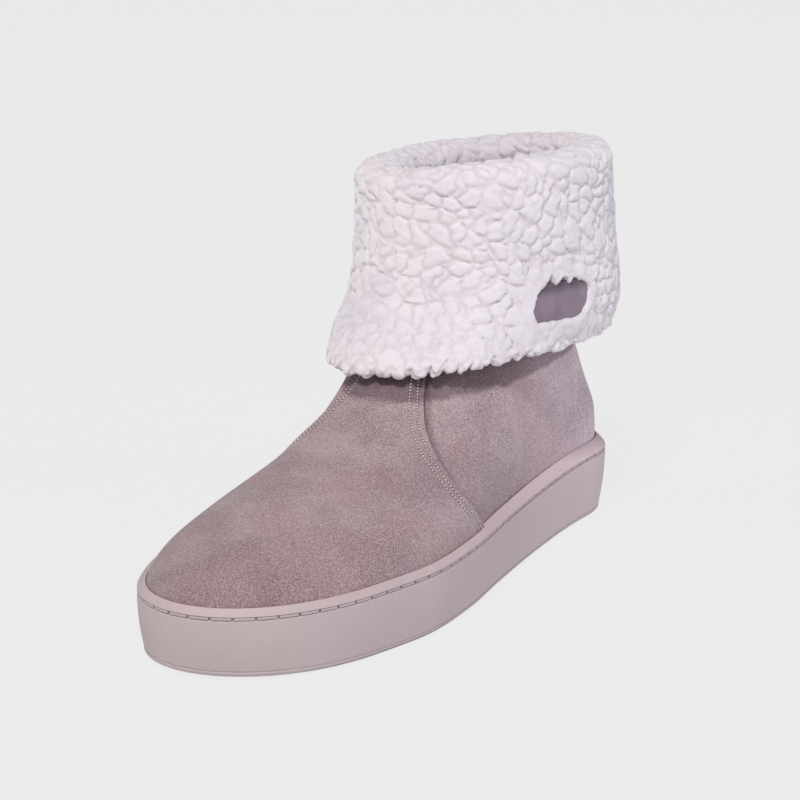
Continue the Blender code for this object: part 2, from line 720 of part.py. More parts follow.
for old in list(bpy.data.objects):
    bpy.data.objects.remove(old, do_unlink=True)

centre([make_cupsole(), make_insole(), make_upper(), make_vamp(), make_cuff(), make_patch()])
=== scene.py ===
"""Looks of a left pull-on ankle boot: suede upper, fleece cuff folded over the shaft, rubber cup sole.

Shoe coordinates, as in the solid model: s runs from the heel to the toe, x to the outer side, z up.
"""
import itertools
import math

import bpy
import numpy as np
from mathutils import Matrix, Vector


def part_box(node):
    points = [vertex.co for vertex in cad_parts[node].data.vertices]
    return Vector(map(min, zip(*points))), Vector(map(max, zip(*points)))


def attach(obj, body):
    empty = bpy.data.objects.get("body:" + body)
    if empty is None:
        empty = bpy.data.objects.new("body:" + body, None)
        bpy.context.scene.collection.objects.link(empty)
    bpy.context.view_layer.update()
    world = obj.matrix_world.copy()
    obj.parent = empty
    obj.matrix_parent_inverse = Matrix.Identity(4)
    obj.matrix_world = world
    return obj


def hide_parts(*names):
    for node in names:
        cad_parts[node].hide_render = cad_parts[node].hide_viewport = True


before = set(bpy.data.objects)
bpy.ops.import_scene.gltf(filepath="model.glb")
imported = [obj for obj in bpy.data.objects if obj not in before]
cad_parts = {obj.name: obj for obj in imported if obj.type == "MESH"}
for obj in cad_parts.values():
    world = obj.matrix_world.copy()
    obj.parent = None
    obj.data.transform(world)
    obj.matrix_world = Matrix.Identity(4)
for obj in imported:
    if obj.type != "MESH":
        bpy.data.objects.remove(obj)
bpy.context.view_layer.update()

# Cup sole: one moulding of matt rubber that the upper is glued into. Its wall leans in to the ground, a
# channel with moulded mock stitches runs under the shoulder, and a lip turns in to the suede.
SOLE_LENGTH = 0.270
BALL_WIDTH = 0.0924
HEEL_CAP = 0.0364
TOE_CAP = 0.0628
HEEL_ROUNDNESS = 2.95
TOE_ROUNDNESS = 2.78
CUP_FLOOR = 0.0120
WALL_DRAFT = 0.0021
LIP_WIDTH = 0.0045
CHANNEL_WIDTH = 0.0014
CHANNEL_DEPTH = 0.0010
ARRIS = 0.0015
PARTING = 0.0019
TOE_SPRING = 0.0014
SPRING_START = 0.76
TREAD_RIM = 0.0080
GROOVE_PITCH = 0.0095
GROOVE_WIDTH = 0.0026
GROOVE_DEPTH = 0.0018
GROOVE_FIELDS = ((0.075, 0.30), (0.57, 0.93))
VAMP_START = 0.1400
VAMP_BLEND = 0.0045
SOLE_COLUMNS = 400
RUBBER = (0.56, 0.462, 0.46)
RUBBER_DARK = (0.492, 0.404, 0.412, 1)
RUBBER_LIGHT = (0.528, 0.436, 0.442, 1)
# Shoulder of the side wall: share of the sole length, its height, and the lip's rise above it.
SHOULDER = (
    (0.00, 0.0251, 0.0037),
    (0.25, 0.0246, 0.0030),
    (0.50, 0.0237, 0.0021),
    (0.65, 0.0230, 0.0020),
    (0.85, 0.0225, 0.0022),
    (1.00, 0.0224, 0.0023),
)
PLAN = (
    (0.00, 0.401, 0.391),
    (0.15, 0.388, 0.393),
    (0.30, 0.421, 0.378),
    (0.45, 0.477, 0.372),
    (0.58, 0.534, 0.411),
    (0.70, 0.548, 0.452),
    (0.80, 0.496, 0.450),
    (0.90, 0.444, 0.409),
    (1.00, 0.399, 0.397),
)


def column(table, index):
    """One column of a table."""
    return np.array([row[index] for row in table], float)


def through(xs, ys, x):
    """A smooth curve through the points of a table, level outside it."""
    if xs[0] > xs[-1]:
        xs = xs[::-1]
        ys = ys[::-1]
    slope = np.gradient(ys, xs)
    x = np.clip(x, xs[0], xs[-1])
    i = np.clip(np.searchsorted(xs, x, side="right") - 1, 0, len(xs) - 2)
    step = xs[i + 1] - xs[i]
    t = (x - xs[i]) / step
    level = (2 * t ** 3 - 3 * t ** 2 + 1) * ys[i] + (3 * t ** 2 - 2 * t ** 3) * ys[i + 1]
    bend = (t ** 3 - 2 * t ** 2 + t) * slope[i] + (t ** 3 - t ** 2) * slope[i + 1]
    return level + bend * step


def ease(t):
    """0 before 0, 1 after 1 and smooth between."""
    t = np.clip(t, 0.0, 1.0)
    return t * t * (3 - 2 * t)


def cap(distance, length, roundness):
    """Share of the full width at a distance from a rounded end."""
    return np.sqrt(1 - np.clip(1 - distance / length, 0.0, 1.0) ** roundness)


def half_width(s, theta):
    """Half width of the sole at a station, outer or inner side, before its ends are rounded."""
    outer = through(column(PLAN, 0), column(PLAN, 1), s / SOLE_LENGTH)
    inner = through(column(PLAN, 0), column(PLAN, 2), s / SOLE_LENGTH)
    return BALL_WIDTH * np.where(np.sin(theta) >= 0, outer, inner)


def shoulder_height(s):
    """Height of the shoulder of the side wall."""
    return through(column(SHOULDER, 0), column(SHOULDER, 1), s / SOLE_LENGTH)


def lip_height(s):
    """Height of the lip where it meets the upper."""
    return shoulder_height(s) + through(column(SHOULDER, 0), column(SHOULDER, 2), s / SOLE_LENGTH)


def plan_point(theta):
    """Point of the sole's outline: x and s."""
    s = SOLE_LENGTH * (1 - np.cos(theta)) / 2
    width = half_width(s, theta) * cap(s, HEEL_CAP, HEEL_ROUNDNESS)
    width = width * cap(SOLE_LENGTH - s, TOE_CAP, TOE_ROUNDNESS)
    return np.stack([np.sign(np.sin(theta)) * width, s], -1)


def plan_ring(theta, inset):
    """The sole's outline, moved inward by a distance."""
    along = plan_point(theta + 1e-3) - plan_point(theta - 1e-3)
    along /= np.linalg.norm(along, axis=-1, keepdims=True)
    inward_side = np.stack([-along[..., 1], along[..., 0]], -1)
    return plan_point(theta) + np.asarray(inset)[..., None] * inward_side


heel_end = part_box("cupsole")[1].y
widest_side = plan_point(np.linspace(0, math.pi, 53))[:, 0].max()
middle_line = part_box("cupsole")[1].x - widest_side


def placed(points):
    """Shoe coordinates to the frame's coordinates."""
    return np.stack([points[..., 0] + middle_line, heel_end - points[..., 1], points[..., 2]], -1)


def lay(name, points, closed_rows=False, closed_columns=True, curl=None):
    """A grid laid over a table of points, its meeting edges merged. A painted shade for its points
    becomes an attribute.
    """
    if closed_columns:
        points = np.concatenate([points, points[:, :1]], 1)
    if closed_rows:
        points = np.concatenate([points, points[:1]], 0)
    rows, columns = points.shape[:2]
    bpy.ops.object.select_all(action="DESELECT")
    bpy.ops.mesh.primitive_grid_add(x_subdivisions=columns - 1, y_subdivisions=rows - 1, size=2.0)
    piece = bpy.context.object
    piece.name = name
    flat = np.zeros(rows * columns * 3)
    piece.data.vertices.foreach_get("co", flat)
    across = np.rint((flat[0::3] + 1) / 2 * (columns - 1)).astype(int)
    up = np.rint((flat[1::3] + 1) / 2 * (rows - 1)).astype(int)
    piece.data.vertices.foreach_set("co", placed(points)[up, across].reshape(-1))
    if curl is not None:
        attribute = piece.data.attributes.new("curl", "FLOAT", "POINT")
        of_corner = curl[up % curl.shape[0], across % curl.shape[1]]
        attribute.data.foreach_set("value", of_corner.astype(np.float32))
    piece.data.update()
    bpy.ops.object.mode_set(mode="EDIT")
    bpy.ops.mesh.select_all(action="SELECT")
    bpy.ops.mesh.remove_doubles(threshold=1e-6)
    bpy.ops.mesh.normals_make_consistent(inside=False)
    bpy.ops.object.mode_set(mode="OBJECT")
    bpy.ops.object.shade_smooth()
    return piece


def pick(*pieces):
    """Select these pieces only; the first one is active."""
    bpy.ops.object.select_all(action="DESELECT")
    for piece in pieces:
        piece.select_set(True)
    bpy.context.view_layer.objects.active = pieces[0]


def thicken(piece, axis, thickness):
    """Turn a sheet's face to a world axis and give it a thickness behind that face."""
    pick(piece)
    if piece.data.polygons[len(piece.data.polygons) // 2].normal[axis] < 0:
        bpy.ops.object.mode_set(mode="EDIT")
        bpy.ops.mesh.select_all(action="SELECT")
        bpy.ops.mesh.flip_normals()
        bpy.ops.object.mode_set(mode="OBJECT")
    sheet = piece.modifiers.new("thickness", "SOLIDIFY")
    sheet.thickness = thickness
    sheet.offset = -1.0
    bpy.ops.object.modifier_apply(modifier="thickness")


def closed_round(count):
    """Angles round the shoe: 0 at the heel, pi at the toe, the outer side first."""
    return np.arange(count) * 2 * math.pi / count


sole_theta = closed_round(SOLE_COLUMNS)
outline = plan_ring(sole_theta, 0.0)
shoulder = shoulder_height(outline[:, 1])
spring = np.clip((outline[:, 1] / SOLE_LENGTH - SPRING_START) / (1 - SPRING_START), 0, 1)
tread = TOE_SPRING * spring ** 2
# Inset and height from the tread's edge up: arris, parting line, wall, channel, lip, and down inside.
wall_rows = [(WALL_DRAFT + ARRIS * (1 - math.sin(a)), tread + ARRIS * (1 - math.cos(a)))
             for a in np.radians([0, 22, 45, 68, 90])]
wall_rows += [
    (WALL_DRAFT - 0.00002, tread + PARTING - 0.0004),
    (WALL_DRAFT + 0.00022, tread + PARTING - 0.0001),
    (WALL_DRAFT + 0.00022, tread + PARTING + 0.0001),
    (WALL_DRAFT - 0.00010, tread + PARTING + 0.0004),
]
channel_low = shoulder - CHANNEL_WIDTH
for share in np.linspace(0.12, 0.94, 9):
    belly = 0.0005 * math.sin(math.pi * share)
    height = tread + PARTING + (channel_low - 0.0006 - tread - PARTING) * share
    wall_rows.append((WALL_DRAFT * (1 - share) - belly, height))
wall_rows += [
    (0.00005, channel_low - 0.0003),
    (0.00030, channel_low - 0.00005),
    (CHANNEL_DEPTH * 0.9, channel_low + 0.0001),
    (CHANNEL_DEPTH, channel_low + 0.0003),
    (CHANNEL_DEPTH, shoulder - 0.0005),
    (CHANNEL_DEPTH * 0.8, shoulder - 0.0003),
    (0.00022, shoulder - 0.0001),
    (0.00002, shoulder + 0.0001),
]
inward = plan_ring(sole_theta, 1.0) - outline
under_vamp = ease((outline[:, 1] - VAMP_START) / VAMP_BLEND)
lip_reach = LIP_WIDTH - 0.0003 - 0.0015 * under_vamp - 0.0015 * np.clip(inward[:, 1], 0, 1)
lip_top = lip_height(outline[:, 1])
for share in np.linspace(0.10, 1.0, 8):
    climb = (lip_top - shoulder - 0.0003) * share * (1.3 - 0.3 * share)
    wall_rows.append((lip_reach * share, shoulder + 0.0003 + climb))
wall_rows.append((lip_reach + 0.0002, lip_top - 0.0001))
wall_rows.append((lip_reach + 0.0003, lip_top - 0.0006))
wall_rows.append((lip_reach + 0.0003, CUP_FLOOR + 0.0006 + 0 * shoulder))
wall_rows.append((lip_reach + 0.0008, CUP_FLOOR + 0 * shoulder))
rings = [np.column_stack([plan_ring(sole_theta, inset), height]) for inset, height in wall_rows]


def across(ring, share):
    """A ring drawn in towards its own middle line."""
    middle = (ring + np.roll(ring[::-1], 1, axis=0)) / 2
    return middle + (ring - middle) * share


underside = [across(rings[0], share) for share in (0.0, 0.35, 0.7, 0.93)]
cup_floor = [across(rings[-1], share) for share in (0.93, 0.5, 0.0)]
sole = lay("cup_sole", np.array(underside + rings + cup_floor))


def tread_edge(s, side):
    """Edge of the tread field at a station, on one side."""
    theta = side * math.pi / 2
    width = half_width(s, theta) * cap(s, HEEL_CAP, HEEL_ROUNDNESS)
    return side * (width * cap(SOLE_LENGTH - s, TOE_CAP, TOE_ROUNDNESS) - WALL_DRAFT - TREAD_RIM)


bpy.ops.object.select_all(action="DESELECT")
groove_bars = []
for first, last in GROOVE_FIELDS:
    for s in np.arange(first * SOLE_LENGTH, last * SOLE_LENGTH, GROOVE_PITCH):
        outer = tread_edge(s, 1)
        inner = tread_edge(s, -1)
        middle = placed(np.array([(outer + inner) / 2, s, 0.0]))
        bpy.ops.mesh.primitive_cube_add(size=1.0, location=middle)
        bar = bpy.context.object
        lift = TOE_SPRING * max(s / SOLE_LENGTH - SPRING_START, 0) / (1 - SPRING_START)
        bar.scale = (outer - inner, GROOVE_WIDTH, 2 * (GROOVE_DEPTH + lift))
        bpy.ops.object.transform_apply(location=True, rotation=False, scale=True)
        groove_bars.append(bar)
pick(*groove_bars)
bpy.ops.object.join()
grooves = bpy.context.object
pick(sole)
cut = sole.modifiers.new("tread", "BOOLEAN")
cut.operation = "DIFFERENCE"
cut.object = grooves
bpy.ops.object.modifier_apply(modifier="tread")
bpy.data.objects.remove(grooves)
bpy.ops.object.shade_smooth_by_angle(angle=math.radians(32))


class Wire:
    """One output in a material. Sums and products with it add Math nodes."""

    def __init__(self, tree, socket):
        self.tree = tree
        self.socket = socket

    def node(self, kind, settings=None, inputs=None, output=0):
        """Any node: its settings are made first, then its sockets get their values or links."""
        node = self.tree.nodes.new(kind)
        for name, value in (settings or {}).items():
            if name == "stops":
                ramp = node.color_ramp
                while len(ramp.elements) < len(value):
                    ramp.elements.new(1.0)
                for element, (position, colour) in zip(ramp.elements, value):
                    element.position = position
                    element.color = (*colour, 1.0)
            else:
                setattr(node, name, value)
        for name, value in (inputs or {}).items():
            if isinstance(value, Wire):
                self.tree.links.new(value.socket, node.inputs[name])
            else:
                node.inputs[name].default_value = value
        return Wire(self.tree, node.outputs[output])

    def maths(self, operation, first, second):
        """A Math node on two values."""
        return self.node("ShaderNodeMath", {"operation": operation}, {0: first, 1: second})

    def __add__(self, other):
        return self.maths("ADD", self, other)

    __radd__ = __add__

    def __mul__(self, other):
        return self.maths("MULTIPLY", self, other)

    __rmul__ = __mul__

    def axis(self, number):
        """One axis of these coordinates: 0, 1 or 2."""
        return self.node("ShaderNodeSeparateXYZ", None, {"Vector": self}, number)

    def noise(self, scale, detail=3.0, roughness=0.5, distortion=0.0):
        """Noise on these coordinates, about 0.5."""
        sockets = {"Vector": self, "Scale": scale, "Detail": detail, "Roughness": roughness}
        return self.node("ShaderNodeTexNoise", None, {**sockets, "Distortion": distortion})

    def between(self, low, high):
        """This value stretched so that low becomes 0 and high becomes 1."""
        sockets = {"Value": self, "From Min": low, "From Max": high}
        return self.node("ShaderNodeMapRange", {"interpolation_type": "SMOOTHSTEP"}, sockets)

    def blend(self, first, second, mode="MIX"):
        """Two colours mixed by this value."""
        settings = {"data_type": "RGBA", "blend_type": mode}
        return self.node("ShaderNodeMix", settings, {0: self, 6: first, 7: second}, 2)

    def tint(self, body, colour):
        """A colour multiplied by another one, by this value."""
        return self.blend(body, (*colour, 1), "MULTIPLY")

    def curl(self):
        """The mesh's painted shade attribute: in the fleece's creases, and behind the seam on the
        upper.
        """
        return self.node("ShaderNodeAttribute", {"attribute_name": "curl"}, None, 2)


def finish_of(piece, name, colour, roughness, sheen=0.0):
    """A new material on a piece; gives its shader node and its Object coordinates."""
    material = bpy.data.materials.new(name)
    material.use_nodes = True
    material.diffuse_color = (*colour, 1.0)
    tree = material.node_tree
    shader = tree.nodes["Principled BSDF"]
    shader.inputs["Base Color"].default_value = (*colour, 1.0)
    shader.inputs["Roughness"].default_value = roughness
    shader.inputs["Specular IOR Level"].default_value = 0.25
    shader.inputs["Sheen Weight"].default_value = sheen
    shader.inputs["Sheen Roughness"].default_value = 0.6
    piece.data.materials.clear()
    piece.data.materials.append(material)
    coordinates = tree.nodes.new("ShaderNodeTexCoord")
    return shader, Wire(tree, coordinates.outputs["Object"])


def feed(shader, name, wire):
    """Link a wire to one of the shader's sockets."""
    wire.tree.links.new(wire.socket, shader.inputs[name])


def raise_grain(shader, wire, distance, strength=1.0):
    """A height in a material felt as bump."""
    sockets = {"Height": wire, "Distance": distance, "Strength": strength}
    feed(shader, "Normal", wire.node("ShaderNodeBump", None, sockets))


def mottle(shader, wire, dark, light):
    """A colour between two, by a noise about 0.5."""
    feed(shader, "Base Color", wire.between(0.3, 0.7).blend((*dark, 1), (*light, 1)))


shader, place = finish_of(sole, "moulded_rubber", RUBBER, 0.62)
cloud = place.noise(22.0, 3.0)
scuff = place.noise(260.0, 4.0, 0.6)
tone = (cloud * 0.6 + scuff * 0.4).between(0.32, 0.68)
body = tone.blend(RUBBER_DARK, RUBBER_LIGHT)
# Painted light: the rubber paler and bluer towards the heel, as if lit from that side.
body = place.axis(1).between(-0.020, 0.120).tint(body, (1.14, 1.15, 1.20))
height = place.axis(2)
# Painted highlight: the band from the shoulder up over the lip lighter, as where it faces the light.
body = height.between(0.0222, 0.0262).tint(body, (1.13, 1.09, 1.09))
# Painted contact shadow: the rubber dark along its ground edge.
ground = height.between(0.0016, 0.0003)
feed(shader, "Base Color", (ground * 0.8).blend(body, (0.150, 0.115, 0.115, 1)))
feed(shader, "Roughness", 0.52 + scuff * 0.25)
raise_grain(shader, place.noise(1700.0, 2.0) + 0.8 * place.noise(600.0, 2.0), 0.00012, 0.8)
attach(sole, "root")
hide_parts("cupsole")

# Mock stitches of the sole: raised bars moulded in the channel, one after the other all round, each
# with a small gap before the next. They are the same rubber as the sole.
BAR_PITCH = 0.0074
BAR_SPACE = 0.0008
BAR_HEIGHT = 0.00098
BAR_STAND = 0.00022


def copies(name, pattern, places):
    """A pattern piece repeated at each place, given as an origin and three axes, as one mesh."""
    count = len(pattern.data.vertices)
    corner = np.zeros(count * 3)
    pattern.data.vertices.foreach_get("co", corner)
    corner = corner.reshape(-1, 3)
    faces = [tuple(face.vertices) for face in pattern.data.polygons]
    points = []
    all_faces = []
    for k, (origin, along, side, out) in enumerate(places):
        points.append(origin + corner @ np.array([along, side, out]))
        all_faces += [tuple(k * count + i for i in face) for face in faces]
    mesh = bpy.data.meshes.new(name)
    mesh.from_pydata(np.concatenate(points).tolist(), [], all_faces)
    run = bpy.data.objects.new(name, mesh)
    bpy.context.collection.objects.link(run)
    bpy.data.objects.remove(pattern)
    pick(run)
    bpy.ops.object.mode_set(mode="EDIT")
    bpy.ops.mesh.select_all(action="SELECT")
    bpy.ops.mesh.normals_make_consistent(inside=False)
    bpy.ops.object.mode_set(mode="OBJECT")
    bpy.ops.object.shade_smooth()
    return run


def unit(vectors):
    """Vectors of length one."""
    return vectors / np.linalg.norm(vectors, axis=-1, keepdims=True)


fine = np.linspace(0, 2 * math.pi, 4001)
flat = plan_ring(fine, CHANNEL_DEPTH)
path = placed(np.column_stack([flat, shoulder_height(flat[:, 1]) - CHANNEL_WIDTH * 0.5]))
run_length = np.concatenate([[0], np.cumsum(np.linalg.norm(np.diff(path, axis=0), axis=1))])
bar_count = round(run_length[-1] / BAR_PITCH)
bar_at = (np.arange(bar_count) + 0.5) * run_length[-1] / bar_count


def along_path(path, run_length, at):
    """Point and direction at a distance along a path."""
    ahead = np.stack([np.interp(at + 2e-4, run_length, path[:, k]) for k in range(3)], -1)
    behind = np.stack([np.interp(at - 2e-4, run_length, path[:, k]) for k in range(3)], -1)
    return (ahead + behind) / 2, unit(ahead - behind)


bpy.ops.object.select_all(action="DESELECT")
bpy.ops.mesh.primitive_cube_add(size=1.0)
bar = bpy.context.object
bar.scale = (BAR_PITCH - BAR_SPACE, BAR_HEIGHT, (CHANNEL_DEPTH - BAR_STAND) * 2)
bpy.ops.object.transform_apply(location=False, rotation=False, scale=True)
bpy.ops.object.mode_set(mode="EDIT")
bpy.ops.mesh.select_all(action="SELECT")
bpy.ops.mesh.bevel(offset=0.00028, segments=3, affect="EDGES")
bpy.ops.object.mode_set(mode="OBJECT")
centre, along = along_path(path, run_length, bar_at)
up = np.tile([0.0, 0.0, 1.0], (bar_count, 1))
out = unit(np.cross(along, up))
bars = copies("sole_bars", bar, list(zip(centre, along, np.cross(out, along), out)))
shader, place = finish_of(bars, "moulded_rubber_bars", RUBBER, 0.62)
raise_grain(shader, place.noise(1700.0, 2.0), 0.0001, 0.6)
feed(shader, "Base Color", place.noise(40.0).between(0.3, 0.7).blend(RUBBER_DARK, RUBBER_LIGHT))
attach(bars, "root")

# Upper: one layer of suede drawn over the last, from the cup up over the ankle to the fold, and down
# again outside as the flap under the fleece. The skin is soft, with a few shallow creases at the ankle.
SHAFT_HEIGHT = 0.1300
FOLD_SIDE = 0.0078
FOLD_FRONT = 0.0020
SHAFT_WIDTH = 0.0640
SUEDE = 0.0018
FOLD_GAP = 0.0022
TOE_ROUND = 0.0450
HEM_HEIGHT = 0.0780
HEM_FALL = 0.0055
HEM_SIDE = 0.0015
HEM_FLARE = 0.0060
UPPER_COLUMNS = 380
RIDGE = (
    (0.970, 0.242, 1.28),
    (0.900, 0.283, 1.28),
    (0.820, 0.319, 1.45),
    (0.740, 0.349, 1.78),
    (0.660, 0.384, 2.05),
    (0.590, 0.430, 2.15),
    (0.530, 0.500, 2.15),
    (0.480, 0.585, 2.15),
    (0.436, 0.665, 2.15),
    (0.408, 0.748, 2.15),
    (0.394, 0.865, 2.15),
    (0.388, 1.000, 2.15),
)
SECTIONS = (
    (0.00, 0.0120, 0.505, 0.52),
    (0.20, 0.0110, 0.505, 0.52),
    (0.24, 0.0116, 0.490, 0.52),
    (0.30, 0.0150, 0.450, 0.52),
    (0.40, 0.027, 0.360, 0.52),
    (0.52, 0.040, 0.275, 0.51),
    (0.65, 0.046, 0.205, 0.52),
    (0.82, 0.047, 0.195, 0.52),
    (1.00, 0.043, 0.205, 0.53),
)
# Creases: side, then station and height of each end in shares of the sole length and the shaft height,
# then half width and depth in shares of the suede's thickness. A negative depth is a ridge.
CREASES = (
    (1, 0.105, 0.50, 0.135, 0.62, 2.2, 0.55),
    (1, 0.155, 0.47, 0.190, 0.63, 2.8, -0.40),
    (1, 0.060, 0.40, 0.200, 0.33, 3.6, 0.28),
    (1, 0.250, 0.55, 0.360, 0.44, 4.0, 0.30),
    (1, 0.300, 0.36, 0.450, 0.30, 5.0, -0.22),
    (-1, 0.090, 0.50, 0.150, 0.61, 2.4, 0.55),
    (-1, 0.210, 0.58, 0.330, 0.45, 3.6, 0.42),
    (-1, 0.070, 0.38, 0.220, 0.34, 3.6, 0.30),
    (-1, 0.300, 0.36, 0.440, 0.29, 4.5, -0.25),
)


TOE_TIP = SOLE_LENGTH - LIP_WIDTH
ridge_s = np.linspace(RIDGE[-1][0] * SOLE_LENGTH, TOE_TIP, 1500)
ridge_z = SHAFT_HEIGHT * through(column(RIDGE, 0), column(RIDGE, 1), ridge_s / SOLE_LENGTH)
ridge_z = lip_height(ridge_s) + (ridge_z - lip_height(ridge_s)) * cap(TOE_TIP - ridge_s, TOE_ROUND, 3.0)


def section_at(z):
    """Back, widest and front station of the upper's section at a height, and its oval's half width."""
    share = z / SHAFT_HEIGHT
    levels = column(SECTIONS, 0)
    back = SOLE_LENGTH * through(levels, column(SECTIONS, 1), share)
    widest = SOLE_LENGTH * through(levels, column(SECTIONS, 2), share)
    oval = SHAFT_WIDTH * through(levels, column(SECTIONS, 3), share)
    return back, widest, np.interp(z, ridge_z[::-1], ridge_s[::-1]), oval


def skin_point(theta, z):
    """Point of the suede's outer side at an angle and a height."""
    back, widest, front, oval = section_at(z)
    turn = np.cos(theta)
    s = widest - turn * np.where(turn > 0, widest - back, front - widest)
    foot = half_width(s, theta) - LIP_WIDTH
    foot = foot * cap(s - back, HEEL_CAP - LIP_WIDTH, HEEL_ROUNDNESS)
    foot = foot * cap(TOE_TIP - s, TOE_CAP - LIP_WIDTH, TOE_ROUNDNESS)
    lip = lip_height(s)
    crown = np.maximum(np.interp(s, ridge_s, ridge_z) - lip, 1e-6)
    rise = np.clip((z - lip) / crown, 0, 1)
    roundness = through(column(RIDGE, 0)[::-1], column(RIDGE, 2)[::-1], s / SOLE_LENGTH)
    foot = foot * np.sqrt(1 - rise ** roundness)
    share = ease((z / SHAFT_HEIGHT - 0.30) / 0.38)
    x = np.sign(np.sin(theta)) * (foot + (oval * np.abs(np.sin(theta)) - foot) * share)
    return np.stack(np.broadcast_arrays(x, s, z), -1)


def crease(points):
    """How far the creases push the suede out at each point."""
    push = np.zeros(points.shape[:-1])
    for side, s0, z0, s1, z1, width, depth in CREASES:
        start = np.array([s0 * SOLE_LENGTH, z0 * SHAFT_HEIGHT])
        line = np.array([s1 * SOLE_LENGTH, z1 * SHAFT_HEIGHT]) - start
        away = points[..., 1:] - start
        t = np.clip(away @ line / (line @ line), 0, 1)
        distance = np.linalg.norm(away - t[..., None] * line, axis=-1) / (width * SUEDE)
        wave = np.exp(-distance ** 2) - 0.35 * np.exp(-(distance - 1.7) ** 2 / 0.6)
        on_side = ease(points[..., 0] * side / 0.012)
        push -= depth * SUEDE * wave * on_side * np.sin(math.pi * (0.12 + 0.76 * t)) ** 1.5
    return push


def skin(theta, z, offset=0.0, soft=True):
    """The suede's outer side moved outward by a distance, with its creases where soft."""
    theta, z, offset = np.broadcast_arrays(theta, z, offset)
    point = skin_point(theta, z)
    sideways = skin_point(theta + 1e-3, z) - skin_point(theta - 1e-3, z)
    upward = skin_point(theta, z + 4e-4) - skin_point(theta, z - 4e-4)
    if soft:
        offset = offset + crease(point)
    return point + offset[..., None] * unit(np.cross(sideways, upward))


def fold_height(theta):
    """Height on the shaft's skin at which the fold begins."""
    return SHAFT_HEIGHT + FOLD_SIDE * (1 + np.sin(theta)) / 2 + FOLD_FRONT * (1 - np.cos(theta)) / 2


def rim(theta, offset, height):
    """A point over the rim: out from the shaft's skin at its top, and up."""
    out = skin(theta, SHAFT_HEIGHT, 1e-3, False) - skin(theta, SHAFT_HEIGHT, 0.0, False)
    out[..., 2] = 0
    point = skin_point(theta, fold_height(theta)) + np.asarray(offset)[..., None] * unit(out)
    point[..., 2] += height
    return point


def hem_height(theta):
    """Height of the flap's edge on the shaft's skin."""
    return HEM_HEIGHT + HEM_FALL * np.cos(theta) + HEM_SIDE * np.sin(theta)


def flap_gap(theta, share):
    """Space between the shaft and the flap, at a share of the way from the hem to the fold."""
    return FOLD_GAP + HEM_FLARE * (1 + np.cos(theta)) / 2 * (1 - np.clip(share, 0, 1)) ** 1.5


def ridge_levels(low, high, count):
    """Heights of rings evenly spaced along the ridge."""
    z = np.linspace(low, high, 900)
    front = np.interp(z, ridge_z[::-1], ridge_s[::-1])
    length = np.concatenate([[0], np.cumsum(np.hypot(np.diff(front), np.diff(z)))])
    return np.interp(np.linspace(0, length[-1], count), length, z)


theta = closed_round(UPPER_COLUMNS)
lip = lip_height(SOLE_LENGTH) - 0.0002
fold = fold_height(theta)
outer_levels = np.concatenate([[CUP_FLOOR + 0.0004, lip - 0.0045], ridge_levels(lip, HEM_HEIGHT, 84)])
rows = [skin(theta, z) for z in outer_levels]
rows += [skin(theta, HEM_HEIGHT + (fold - HEM_HEIGHT) * share) for share in np.linspace(0, 1, 12)[1:]]
rows.append(rim(theta, FOLD_GAP / 2, FOLD_GAP / 2))
for share in np.linspace(1, 0, 16):
    level = hem_height(theta) + (fold - hem_height(theta)) * share
    rows.append(skin(theta, level, flap_gap(theta, share)))
for share in np.linspace(0, 1, 16):
    level = hem_height(theta) + (fold - hem_height(theta)) * share
    rows.append(skin(theta, level, flap_gap(theta, share) + SUEDE))
for turn in np.radians([30, 60, 90, 120, 150]):
    reach = FOLD_GAP / 2 + SUEDE
    rows.append(rim(theta, FOLD_GAP / 2 + reach * math.cos(turn), reach * math.sin(turn)))
inner_levels = np.concatenate([[0.115, 0.1], ridge_levels(lip, HEM_HEIGHT + 0.009, 26)[::-1],
                               [CUP_FLOOR + 0.0004]])
rows.append(skin(theta, fold, -SUEDE))
rows += [skin(theta, z, -SUEDE) for z in inner_levels]
upper = lay("suede_upper", np.array(rows), closed_rows=True)


# Heights over which the painted shadow under the fleece hem sets in.
HEM_SHADE = (0.0666, 0.0688)
SUEDE_SPECK_DARK = (0.135, 0.082, 0.090, 1)
SUEDE_SPECK_LIGHT = (0.700, 0.560, 0.570, 1)


